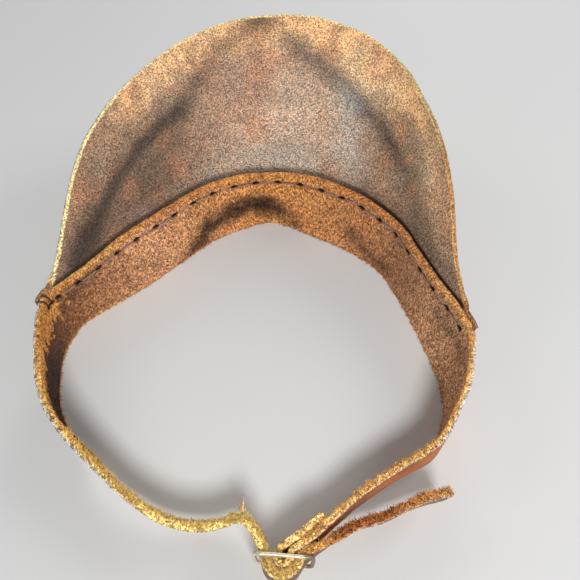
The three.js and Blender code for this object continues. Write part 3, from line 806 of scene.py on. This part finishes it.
def brim_paint(side, d, r, reach, spots):
    """Colour of the brim's surface; d and r are its flat coordinates."""
    patches, small, tiny = noise(spots, 13, 31), noise(spots, 5, 32), noise(spots, 1.6, 33)
    mottled = 0.1 * small + 0.12 * tiny
    inset = np.where(r >= reach, 0, edge_distance(d, r))
    swayed = d + 0.9 * small, r + 0.9 * small
    ragged = d + 2.5 * small, r + 2.5 * noise(spots, 4, 34)
    broken = 1 + 0.35 * small + 0.25 * patches + 0.4 * tiny
    outer = smooth(26, 8, inset) * smooth(108, 74, np.abs(d + 6))
    worn_right = stroke(*ragged, WORN_RIGHT, 5.0) * smooth(-0.1, 0.5, noise(spots, 2.6, 35))
    crease_shadow_share = 0.4 + 0.55 * smooth(20, 60, -6 - d) + 0.2 * smooth(20, 60, d)
    near_ends = smooth(4, 1.5, reach) * 0.9
    face = layers(
        np.tile(rgb(150, 122, 97), (len(d), 1)),
        # broad patches, with painted sheen in the middle of the face
        *patch_coats(d, r, SHEEN_AND_PATCHES),
        ((240, 190, 136), outer * (0.85 + 0.4 * small)),
        ((240, 204, 156), blob(d, r, (-52, 62), (24, 14)) * 0.8),
        ((156, 122, 94), smooth(18, 4, inset) * smooth(84, 104, d) * 0.8),
        *patch_coats(d, r, DARK_PATCHES),
        ((178, 118, 80), smooth(0.1, 0.6, patches) * 0.34),
        ((138, 128, 112), smooth(0.1, 0.6, -patches) * 0.25),
        ((104, 82, 64), stroke(*swayed, DARK_LEFT_TOP, 7.5) * 0.6),
        ((68, 54, 42), stroke(*swayed, DARK_LEFT, 6.2) * 0.96),
        ((106, 92, 80), stroke(*swayed, DARK_RIGHT_TOP, 7.0) * 0.75),
        ((76, 66, 57), stroke(*ragged, DARK_RIGHT, 6.4) * 0.8 * broken),
        ((104, 92, 78), blob(*ragged, (-90, 12), (15, 12)) * 0.6 * broken),
        ((206, 146, 98), worn_right * 0.65),
        # pale cold streak: painted sheen on the face
        ((192, 196, 188), stroke(*ragged, SHEEN_RIGHT, 9.0) * 0.42),
        ((58, 43, 33), blob(d, r, (107, 9), (15, 13)) * 0.95),
        ((98, 86, 74), stroke(d, r, [(-50, 3), (-80, 4), (-118, 8)], 4.5) * 0.6),
        # dark along the crease: painted shadow of the gap between the band's top and the brim
        ((52, 40, 32), smooth(3.4, 0.6, r) * 0.45),
        ((26, 19, 15), smooth(1.9, 0.7, r) * crease_shadow_share * smooth(1.5, 4.5, reach)),
        ((176, 126, 76), near_ends),
    )
    face = face * (1 + 0.16 * small + 0.14 * tiny)[:, None]
    right = smooth(-92, -116, d)[:, None]
    rim = rgb(236, 216, 150) * (1 - right) + rgb(230, 174, 100) * right
    rim = layers(rim * (1 + mottled)[:, None], ((160, 112, 70), near_ends))
    worn = 1.3 + 1.5 * smooth(60, 100, d) + 0.8 * smooth(-70, -100, d)
    worn_edge = smooth(worn, worn - 0.9, inset + 0.5 * small + 0.4 * tiny) * smooth(2.5, 5, reach)
    face = mix(face, rim, worn_edge)
    rim = layers(
        rim,
        # pale blue-white on the left of the rim: painted highlight of grazing light on its grain side
        ((190, 194, 188), smooth(40, 75, d) * smooth(2, 6, reach) * 0.8),
        ((122, 98, 84), smooth(-50, -80, d) * 0.55),
    )
    back = layers(
        np.tile(rgb(108, 84, 69), (len(d), 1)) * (1 + 0.22 * patches + 0.12 * small)[:, None],
        ((176, 164, 150), smooth(1.8, 0.6, inset + 0.5 * small) * 0.8),
        # near-black stitch holes: painted shade inside them
        ((14, 10, 8), hole_field(d, r + BAND_HEIGHT, 0.85) * 1.3),
    )
    return np.choose(side[:, None], [face, rim, back])


def brim_piece(name):
    part = np.linspace(-1, 1, BRIM_COLUMNS + 1)
    d = SEAM_HALF * np.sin(GATHER * part) / math.sin(GATHER)
    wall = Wall(station(d))
    reach = brim_reach(d)
    reach = reach + smooth(2, 20, reach) * (0.14 * along_noise(d, 9, 41) + 0.08 * along_noise(d, 2.6, 42))
    inset = np.minimum(EDGE_ROUND, 0.45 * reach)
    slope = np.gradient(reach, d)
    outward = np.column_stack([-slope, np.ones(len(d))]) / np.sqrt(1 + slope ** 2)[:, None]
    rim_d, rim_r = d - inset * outward[:, 0], reach - inset * outward[:, 1]
    flange_low = BAND_HEIGHT - FLANGE_DEPTH
    bend_out = np.minimum(BEND_LENGTH, reach / 2)
    rise = rise_at(d, reach)

    def flat_place(dd, rr):
        return lookup(CREASE, dd) + rise_at(dd, np.broadcast_to(reach, dd.shape)) * rr[..., None]

    rows = []                     # each: points, and their flat d and r
    for z in np.linspace(flange_low + EDGE_ROUND, BAND_HEIGHT - BEND_DEPTH, FLANGE_ROWS):
        rows.append((wall.on(z, FLANGE_MIDDLE), d, np.full(len(d), z - BAND_HEIGHT)))
    start, crease = rows[-1][0], lookup(CREASE, d)
    corner = crease - rise * (smooth(5, 1, reach) * reach)[:, None]
    stop = crease + rise * bend_out[:, None]
    for t in np.linspace(0, 1, BEND_ROWS + 1)[1:]:
        bent = start * (1 - t) ** 2 + corner * 2 * t * (1 - t) + stop * t ** 2
        rows.append((bent, d, -BEND_DEPTH * (1 - t) + bend_out * t))
    for q in np.linspace(0, 1, BRIM_ROWS + 1)[1:]:
        dd, rr = d + q * (rim_d - d), bend_out + q * (rim_r - bend_out)
        rows.append((flat_place(dd, rr), dd, rr))
    middle, flat_d, flat_r = (np.stack(column, axis=1) for column in zip(*rows))
    normal = np.cross(np.gradient(middle, axis=1), np.gradient(middle, axis=0))
    normal /= np.linalg.norm(normal, axis=2)[:, :, None]

    def lift(amount):
        return normal * amount.reshape(flat_r.shape)[:, :, None]

    dd, rr = flat_d.ravel(), flat_r.ravel()
    spots = middle.reshape(-1, 3)
    valley = stroke(dd, rr, DARK_LEFT, 9) * 0.5 + stroke(dd, rr, DARK_RIGHT, 9) * 0.4
    sway = 0.5 * noise(spots, 34, 43) * smooth(4, 20, rr)
    middle = middle + lift(sway - valley * smooth(2, 12, rr))
    bumps = 0.06 * noise(spots, 3, 44) + 0.04 * noise(spots, 1.3, 45)
    height = rr + BAND_HEIGHT
    pits = 0.35 * groove_field(dd, height) + 1.1 * hole_field(dd, height, 0.8)
    thin = BRIM_HALF * 1.6 * smooth(122, 137, np.abs(d))
    count = middle.shape[1]
    front = middle + lift(BRIM_HALF + bumps)
    back = middle - lift(BRIM_HALF - np.repeat(thin, count) + 0.4 * bumps - pits)

    shift = middle[:, -1] - flat_place(rim_d, rim_r)
    rim_rows, low_rows = [], []
    for across, out in zip(ARC_ACROSS, ARC_RISE):
        full, thinned = across * BRIM_HALF, across * (BRIM_HALF - thin)
        edge_d, edge_r = rim_d + inset * out * outward[:, 0], rim_r + inset * out * outward[:, 1]
        base = flat_place(edge_d, edge_r) + shift
        frayed = 0.12 * noise(base, 1.4, 46) + 0.08 * noise(base, 0.8, 47)
        lip = np.where(across > 0, thinned, full) + frayed
        rim_rows.append(base - normal[:, -1] * lip[:, None])
        low = wall.on(flange_low + EDGE_ROUND * (1 - out), FLANGE_MIDDLE)
        low_rows.append(low + normal[:, 0] * np.where(across < 0, thinned, full)[:, None])
    arcs = len(rim_rows)
    grid = np.concatenate([
        front, np.stack(rim_rows, axis=1), back[:, ::-1], np.stack(low_rows, axis=1),
    ], axis=1)
    edge_d, edge_r = (np.tile(values[:, None], arcs) for values in (d, reach))
    all_d = np.concatenate([flat_d, edge_d, flat_d[:, ::-1], edge_d], axis=1).ravel()
    low_r = np.full_like(edge_r, -FLANGE_DEPTH)
    all_r = np.concatenate([flat_r, edge_r, flat_r[:, ::-1], low_r], axis=1).ravel()
    side = np.repeat([FACE, RIM, BACK, RIM], [count, arcs, count, arcs])
    sides = np.tile(side, len(d))
    tint = brim_paint(sides, all_d, all_r, brim_reach(all_d), grid.reshape(-1, 3))
    raw = np.where(sides == RIM, 1.0, 0.0)
    return tube_mesh(name, grid, [BRIM_FACE, FLESH, GRAIN], side, tint=tint, raw=raw)


# ------------------------------------------------------------------ thread and wire
def resample(points, step):
    """Points along a smooth curve through points, about step apart."""
    p = np.asarray(points, float)
    curve = catmull(p, np.linspace(0, len(p) - 1, (len(p) - 1) * 24 + 1))
    run = np.concatenate([[0], np.cumsum(np.linalg.norm(np.diff(curve, axis=0), axis=1))])
    at = np.linspace(0, run[-1], int(math.ceil(run[-1] / step)) + 1)
    return np.column_stack([np.interp(at, run, curve[:, k]) for k in range(3)])


def rod_grid(path, section, sides, closed=False):
    """Points round a path: section(k, angles) gives the radii at point k."""
    n = len(path)
    ahead, behind = (
        path[at % n if closed else at.clip(0, n - 1)] for at in (np.arange(n) + 1, np.arange(n) - 1)
    )
    along = (ahead - behind) / np.linalg.norm(ahead - behind, axis=1)[:, None]
    side = np.cross(along[0], [0.3, 0.2, 1.0])
    angles = 2 * math.pi * (np.arange(sides) + 0.5) / sides
    rings = []
    for k in range(n):
        side = side - along[k] * (side @ along[k])
        side = side / np.linalg.norm(side)
        up = np.cross(along[k], side)
        radii = section(k, angles)[:, None]
        rings.append(path[k] + radii * (np.cos(angles)[:, None] * side + np.sin(angles)[:, None] * up))
    return np.array(rings)


THREAD_STEP = 0.28
THREAD_SIDES = 10
THREAD_LAY = 2.2                  # length of one turn of the two twisted plies
THREAD_SIZE = 0.43


def thread_piece(name, points, size=THREAD_SIZE, colour=(170, 134, 118)):
    path = resample(points, THREAD_STEP)

    def plies(k, angles):
        turned = 2 * math.pi * k * THREAD_STEP / THREAD_LAY
        return size * (0.8 + 0.2 * np.cos(2 * (angles - turned)))

    grid = rod_grid(path, plies, THREAD_SIDES)
    holes = Wall(station(ALL_HOLES)).on(SEAM_Z, 0)[:, :2]
    near = np.min(np.linalg.norm(path[:, None, :2] - holes[None], axis=2), axis=1)
    buried = smooth(3.0, 1.9, near) * (np.abs(path[:, 2] - SEAM_Z) < 2)
    # near-black where the thread goes into the holes: painted shade inside them
    tint = layers(np.tile(rgb(*colour), (len(path), 1)), ((20, 14, 11), buried))
    piece = tube_mesh(name, grid, [THREAD], tint=np.repeat(tint, THREAD_SIDES, axis=0))
    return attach(piece, "visor")


def seam_path(starts_inside, offset):
    """One thread of the saddle stitch, lying in the groove between holes, on alternate faces."""
    inside, outside = -STRIP_THICK / 2 - 0.05, STACK_OUTSIDE + 0.02
    points = []

    def add(d, z, across):
        points.append(Wall(station(d)).off(z, across)[0])

    for i, d in enumerate(HOLE_D):
        to_inside = (i % 2 == 1) == starts_inside
        here, other = (outside, inside) if to_inside else (inside, outside)
        sign = 1 if to_inside else -1
        if i == 0:
            add(d, SEAM_Z + offset, here)
        add(d, SEAM_Z + offset, here * 0.35 + other * 0.1)
        add(d, SEAM_Z + offset, other + sign * 0.75)
        if i == len(HOLE_D) - 1:
            break
        step = HOLE_D[i + 1] - d
        for part, sag, spread in ((0.12, 0.3, 0.35), (0.35, 0, 0.6), (0.65, 0, 0.6), (0.88, 0.3, 0.35)):
            add(d + part * step, SEAM_Z + offset * spread, other + sign * sag)
        add(HOLE_D[i + 1], SEAM_Z, other + sign * 0.75)
    return points


def tack_path(d, skew):
    """A turn of thread from inside the stack, over the brim edge, and back in."""
    inside, outside = -STRIP_THICK / 2 - 0.1, STACK_OUTSIDE - 1.7
    top = BAND_HEIGHT + 0.1
    corners = [
        (SEAM_Z, 0.5, 0), (SEAM_Z, inside + 0.7, 0), (SEAM_Z + 0.7, inside, 0.1),
        (SEAM_Z + 2.5, inside - 0.1, 0.3), (top - 0.7, inside, 0.5), (top, inside + 0.8, 0.6),
        (top + 0.1, 1.6, 0.8), (top, outside - 0.8, 0.9), (top - 0.7, outside, 1.0),
        (SEAM_Z + 2.5, outside + 0.1, 1.0), (SEAM_Z + 0.7, outside, 1.0),
        (SEAM_Z, outside - 0.7, 1.0), (SEAM_Z, 1.6, 1.0),
    ]
    return [Wall(station(d + skew * part)).off(z, across)[0] for z, across, part in corners]


def fold_path():
    """The turn of thread that holds the folded strap end."""
    here = Wall(FOLD_STITCH_STATION).centre[0]
    behind = Wall(np.arange(len(FOLDED_END) + 7, len(FOLDED_END) + 13, 0.02)).centre
    nearest = np.argmin(np.linalg.norm(behind - here, axis=1))
    start = np.array([*here, 0])
    through = np.array([*(behind[nearest] - here), 0])
    way = through / np.linalg.norm(through)
    face = STRIP_THICK / 2 + 0.15
    high, low = MID_Z + FOLD_STITCH_SPAN / 2, MID_Z - FOLD_STITCH_SPAN / 2
    corners = [
        (high, 0.5, 0), (high, 1, face - 0.6), (high - 0.6, 1, face), (MID_Z, 1, face + 0.05),
        (low + 0.6, 1, face), (low, 1, face - 0.6), (low, 0, 0.6 - face), (low + 0.6, 0, -face),
        (MID_Z, 0, -face - 0.05), (high - 0.6, 0, -face), (high, 0, 0.6 - face), (high, 0.4, 0),
    ]
    return [start + through * part + way * more + [0, 0, z] for z, part, more in corners]


WIRE_SIDES = 20
WIRE_STEP = 0.45
CORNER_PARTS = 8                  # straight parts in a rounded corner of the buckle's frame


def buckle_place(points):
    """Buckle's own frame (x across, z up, through the bar) to the ring frame."""
    x, y, z = np.asarray(points, float).T
    c, s = math.cos(BUCKLE_TURN), math.sin(BUCKLE_TURN)
    return np.column_stack([x * c - y * s + BAR[0], x * s + y * c + BAR[1], z + MID_Z])


def wire_piece(name, path, closed):
    grid = rod_grid(path, lambda k, angles: np.full(len(angles), WIRE_RADIUS), WIRE_SIDES, closed)
    piece = tube_mesh(name, grid, [WIRE], closed=closed)
    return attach(piece, "buckle")


def frame_loop():
    """Rounded rectangle of the buckle's wire, at its centre."""
    straight_x = BUCKLE_WIDTH / 2 - WIRE_RADIUS - BUCKLE_CORNER
    straight_z = BUCKLE_HEIGHT / 2 - WIRE_RADIUS - BUCKLE_CORNER
    points = []
    for corner, (x, z) in enumerate(((1, 1), (-1, 1), (-1, -1), (1, -1))):
        for i in range(CORNER_PARTS + 1):
            angle = math.pi / 2 * (corner + i / CORNER_PARTS)
            cosine, sine = BUCKLE_CORNER * math.cos(angle), BUCKLE_CORNER * math.sin(angle)
            points.append((x * straight_x + cosine, 0, z * straight_z + sine))
    points = np.array(points)
    dense = []
    for a, b in zip(points, np.roll(points, -1, axis=0)):
        count = max(1, int(np.linalg.norm(b - a) / WIRE_STEP))
        dense += [a + (b - a) * i / count for i in range(count)]
    dense = np.array(dense)
    dense[:, 0] += 0.12 * np.sin(dense[:, 2] * 0.5 + 1) * np.sign(dense[:, 0])
    dense[:, 1] += 0.18 * along_noise(dense[:, 0] + 30, 7, 51)
    return buckle_place(dense)


# ------------------------------------------------------------------ fibres
RANDOM = np.random.default_rng(20)
RING = 3                          # points round a fibre
TUFT = 6                          # fibres in a clump


def fibres(name, roots, directions, lengths, radii, tints, curl=0.3):
    """Short tapered fibres as one mesh: each is a bent three-sided spike, closed at its root."""
    n = len(roots)
    way = directions / np.linalg.norm(directions, axis=1)[:, None]
    side = np.cross(way, RANDOM.normal(size=(n, 3)))
    side /= np.linalg.norm(side, axis=1)[:, None]
    up = np.cross(way, side)
    bend = side * (RANDOM.normal(size=n) * curl * lengths)[:, None]
    tip = 2 * RING
    points = np.zeros((n, tip + 1, 3))
    for ring, (along, size) in enumerate(((0.0, 1.0), (0.55, 0.75))):
        centre = roots + way * (lengths * along)[:, None] + bend * along ** 2
        for k in range(RING):
            angle = 2 * math.pi * k / RING
            offset = side * math.cos(angle) + up * math.sin(angle)
            points[:, ring * RING + k] = centre + offset * (radii * size)[:, None]
    points[:, tip] = roots + way * lengths[:, None] + bend
    points[:, :, 2] = np.maximum(points[:, :, 2], 0.02)
    base = (np.arange(n) * (tip + 1))[:, None]
    faces = (base + [2, 1, 0]).tolist()
    for k in range(RING):
        j = (k + 1) % RING
        faces += (base + [k, j, RING + j, RING + k]).tolist()
        faces += (base + [RING + k, RING + j, tip]).tolist()
    mesh = bpy.data.meshes.new(name)
    flat = points.reshape(-1, 3)
    mesh.from_pydata(place(flat).tolist(), [], faces)
    return finish_mesh(name, mesh, flat, [FIBRE], tint=np.repeat(tints, tip + 1, axis=0))


def wall_frame(d):
    """The wall at d, and a function that makes directions there: shares up, inward and forward."""
    wall = Wall(station(d))
    out = np.column_stack([wall.out, np.zeros(len(d))])
    along = np.column_stack([-wall.out[:, 1], wall.out[:, 0], np.zeros(len(d))])

    def ways(up, inward, forward):
        return np.outer(up, (0, 0, 1)) - out * inward[:, None] + along * forward[:, None]

    return wall, ways


def edge_fibres(d, top, longest):
    """Roots, ways and lengths of fibres on the cut edge, top or bottom, at distances d."""
    wall, ways = wall_frame(d)
    n = len(d)
    across = RANDOM.uniform(-1, 0.45 if top else -0.6, n)
    z = (wall.high - 0.35) if top else (wall.low + 0.6)
    roots = wall.on(z, across * STRIP_THICK / 2 * 0.93)
    lift = RANDOM.uniform(*((0.15, 1.0) if top else (-0.4, 0.5)), n)
    lean_in = np.where(across < 0, RANDOM.uniform(0.1, 1.0, n), RANDOM.uniform(-0.5, 0.3, n))
    directions = ways(lift, lean_in, RANDOM.uniform(-1, 1, n))
    lengths = longest * RANDOM.uniform(0.25, 1.0, n) ** 1.6
    return roots, directions, lengths * (1 - 0.75 * in_fold(d))


def strip_tufts(name, low, high, per_mm, longest, thick, shades, spread=(-1.0, 0.2)):
    """Torn clumps along the strip's inner top edge, between two distances, each leaning its own way."""
    n = int((high - low) * per_mm)
    many = n * TUFT
    d = RANDOM.uniform(low, high, n)
    across = RANDOM.uniform(*spread, n)
    drop = RANDOM.uniform(0.2, 1.2, n)
    wall, ways = wall_frame(d)
    clump = ways(RANDOM.uniform(0.25, 0.9, n), RANDOM.uniform(0.4, 1.2, n), RANDOM.uniform(-0.8, 0.8, n))
    roots = np.repeat(wall.on(wall.high - drop, across * STRIP_THICK / 2), TUFT, axis=0)
    size = np.repeat(longest * RANDOM.uniform(0.45, 1.0, n), TUFT)
    roots = roots + RANDOM.normal(0, 0.3, (many, 3)) * (1, 1, 0.4)
    directions = np.repeat(clump, TUFT, axis=0) + RANDOM.normal(0, 0.28, (many, 3))
    lengths = size * RANDOM.uniform(0.55, 1.0, many)
    shade = np.repeat(RANDOM.uniform(*shades, n), TUFT) * np.exp(RANDOM.normal(0, 0.25, many))
    tints = np.repeat(colours_along(EDGE_COLOURS, d), TUFT, axis=0) * shade[:, None]
    tints = tints * RANDOM.uniform((1.0, 0.84, 0.66), (1.12, 0.98, 0.92), (many, 3))
    return fibres(name, roots, directions, lengths, RANDOM.uniform(*thick, many), tints, 0.45)


def strip_fuzz(name, low, high, per_mm_top, per_mm_low, nap_per_mm, long_top):
    """All the fibres of the strip between two distances: its cut edges and its flesh side's nap."""
    top_d, low_d, nap_d = (
        RANDOM.uniform(low, high, int((high - low) * per_mm))
        for per_mm in (per_mm_top, per_mm_low, nap_per_mm)
    )
    sets = [edge_fibres(top_d, True, long_top), edge_fibres(low_d, False, 2.2)]
    n = len(nap_d)
    wall, ways = wall_frame(nap_d)
    z = wall.low + 0.6 + RANDOM.uniform(0, 1, n) * (wall.high - wall.low - 1.2)
    roots = wall.on(z, -STRIP_THICK / 2 + 0.12)
    turned = RANDOM.uniform(0, 2 * math.pi, n)
    directions = ways(np.sin(turned), RANDOM.uniform(0.12, 0.5, n), np.cos(turned))
    lengths = 1.5 * RANDOM.uniform(0.35, 1.0, n)
    keep = groove_field(nap_d, z) < 0.25
    sets.append((roots[keep], directions[keep], lengths[keep]))
    nap_tint = strip_paint(np.full(n, INNER), nap_d, z, -np.ones(n), wall.low, wall.high, roots)
    edge_tint = colours_along(EDGE_COLOURS, np.concatenate([top_d, low_d]))
    tints = np.vstack([edge_tint, nap_tint[keep]])
    shade = np.exp(RANDOM.normal(0.1, 0.6, len(tints))).clip(0.2, 2.8)
    hues = RANDOM.uniform((1.0, 0.84, 0.62), (1.12, 0.98, 0.95), (len(tints), 3))
    tints = tints * shade[:, None] * hues
    roots, directions, lengths = (np.concatenate(column) for column in zip(*sets))
    radii = RANDOM.uniform(0.08, 0.19, len(roots)) * np.where(lengths > 1.2, 1.25, 1)
    return fibres(name, roots, directions, lengths, radii, tints)


# ------------------------------------------------------------------ the pieces
SPLIT = 68                        # station where the strip's two visual pieces meet, under the wire
START_D, SPLIT_D, END_D = (float(distance_of(s)) for s in (0, SPLIT, STRIP_LAST))


def on_band(piece):
    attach(piece, "visor")


band = strip_piece("band_leather", 0, SPLIT)
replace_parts(band, "headband")
on_band(band)

tail = strip_piece("tail_leather", SPLIT, STRIP_LAST)
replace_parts(tail, "tail_strap")

brim = brim_piece("brim_leather")
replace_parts(brim, "brim")
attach(brim, "visor")

for letter, inside_first, offset in (("a", True, THREAD_SPREAD), ("b", False, -THREAD_SPREAD)):
    piece = thread_piece(f"seam_stitches_{letter}", seam_path(inside_first, offset))
    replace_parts(piece, f"seam_thread_{letter}")
for number, distance in enumerate(TACKS, start=1):
    piece = thread_piece(f"edge_turn_{number}", tack_path(distance, 0.9), 0.62, (84, 64, 56))
    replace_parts(piece, f"end_tack_{number}")
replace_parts(thread_piece("fold_stitch", fold_path()), "fold_thread")

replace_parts(wire_piece("wire_frame", frame_loop(), True), "buckle_frame")
bar_half = BUCKLE_HEIGHT / 2 - 2 * WIRE_RADIUS + 0.6
bar_z = np.linspace(-bar_half, bar_half, 40)
bar_points = buckle_place(np.column_stack([0 * bar_z, 0 * bar_z, bar_z]))
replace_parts(wire_piece("wire_bar", bar_points, False), "buckle_bar")

# Distances, fibres per mm on the top edge, low edge and flesh side, and the longest on top.
for name, *fuzz in (
    ("fuzz_right_strap", START_D + 1, -190, 16, 6, 10, 2.0),
    ("fuzz_front", -190, 215, 9, 6, 26, 1.4),
    ("fuzz_left_strap", 215, SPLIT_D, 26, 8, 12, 2.8),
):
    on_band(strip_fuzz(name, *fuzz))
tail_fuzz = strip_fuzz("fuzz_tail", SPLIT_D + 0.5, END_D - 0.5, 20, 8, 14, 2.6)
tail_tufts = strip_tufts("tufts_tail", SPLIT_D + 8, END_D - 1, 4.0, 3.8, (0.12, 0.32), (0.2, 1.9))
for name, low, high, per_mm, longest, spread in (
    ("tufts_left_strap", 205, 303, 2.2, 3.2, (-1.0, -0.5)),
    ("tufts_loop", 303, SPLIT_D - 1, 9.0, 2.4, (-1.0, -0.2)),
    ("tufts_left_wall", 132, 205, 1.2, 1.5, (-1.0, 0.2)),
    ("tufts_right_strap", -262, -192, 1.6, 2.0, (-1.0, -0.3)),
):
    on_band(strip_tufts(name, low, high, per_mm, longest, (0.12, 0.3), (0.8, 1.8), spread))

# A torn strand standing up from the inner edge of the left strap: way, length, radius, brightness.
WISP_AT = 293.0
WISP = np.array([
    (0.0, 1.0, 0.25, 8.5, 0.75, 1.0), (-0.28, 1.0, 0.3, 7.0, 0.62, 0.8),
    (0.25, 1.0, 0.2, 5.0, 0.6, 0.9), (-0.5, 0.6, 0.3, 4.0, 0.5, 0.7),
    (0.7, 0.6, 0.1, 3.6, 0.55, 1.1),
])
wisp_roots = Wall(station(WISP_AT)).on(MID_Z + 8, -1.6) + RANDOM.normal(0, 0.35, (len(WISP), 3))
wisp_tints = rgb(240, 206, 144) * WISP[:, 5:]
on_band(fibres("torn_wisp", wisp_roots, WISP[:, :3], WISP[:, 3], WISP[:, 4], wisp_tints, 0.12))

# The tail bends at the buckle, its leather staying put by the buckle and following the tail past it; here
# the tail's pieces only get their placing baked into their meshes.
for piece in (tail, tail_fuzz, tail_tufts):
    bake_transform(piece)


# ------------------------------------------------------------------ table, light and camera
TABLE_SIZE = 6                    # metres
TABLE_COLOUR = (0.72, 0.715, 0.70, 1)
bpy.ops.mesh.primitive_plane_add(size=TABLE_SIZE)
table = bpy.context.object
table.name = "table"
pale = bpy.data.materials.new("pale_table")
pale.use_nodes = True
pale.node_tree.nodes["Principled BSDF"].inputs["Base Color"].default_value = TABLE_COLOUR
pale.node_tree.nodes["Principled BSDF"].inputs["Roughness"].default_value = 0.7
table.data.materials.append(pale)
table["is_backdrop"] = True

# Soft lights: place and target in metres, size, power.
for name, location, target, size, power in (
    ("key", (0.16, -0.75, 0.95), (0, 0.02, 0.03), 0.35, 9.5),
    ("right_fill", (0.9, 0.25, 0.7), (0, 0, 0.03), 0.5, 3.2),
    ("left_fill", (-0.9, 0.35, 0.8), (0, 0, 0.03), 0.5, 1.2),
    ("back_fill", (0.2, 1.1, 0.4), (0, 0, 0.03), 0.5, 3.0),
):
    data = bpy.data.lights.new(name, "AREA")
    data.shape = "DISK"
    data.size = size
    data.energy = power
    light = bpy.data.objects.new(name, data)
    light.location = location
    light.rotation_euler = (Vector(target) - Vector(location)).to_track_quat("-Z", "Y").to_euler()
    bpy.context.scene.collection.objects.link(light)

world = bpy.data.worlds.new("studio")
world.use_nodes = True
world.node_tree.nodes["Background"].inputs["Color"].default_value = (0.9, 0.93, 1.0, 1)
world.node_tree.nodes["Background"].inputs["Strength"].default_value = 0.24
bpy.context.scene.world = world
bpy.context.scene.view_settings.view_transform = "Standard"

CAMERA = (17, -139, 284)          # mm, in the ring frame
CAMERA_TILT = math.radians(33)    # up from straight down
CAMERA_LENS = 38.48               # mm, on a sensor 36 wide
camera = bpy.data.objects.new("camera", bpy.data.cameras.new("camera"))
camera.location = place([CAMERA])[0]
camera.rotation_euler = (CAMERA_TILT, 0, 0)
camera.data.sensor_width = 36
camera.data.lens = CAMERA_LENS
camera.data.clip_start = 0.01
bpy.context.scene.collection.objects.link(camera)
bpy.context.scene.camera = camera

low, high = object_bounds()
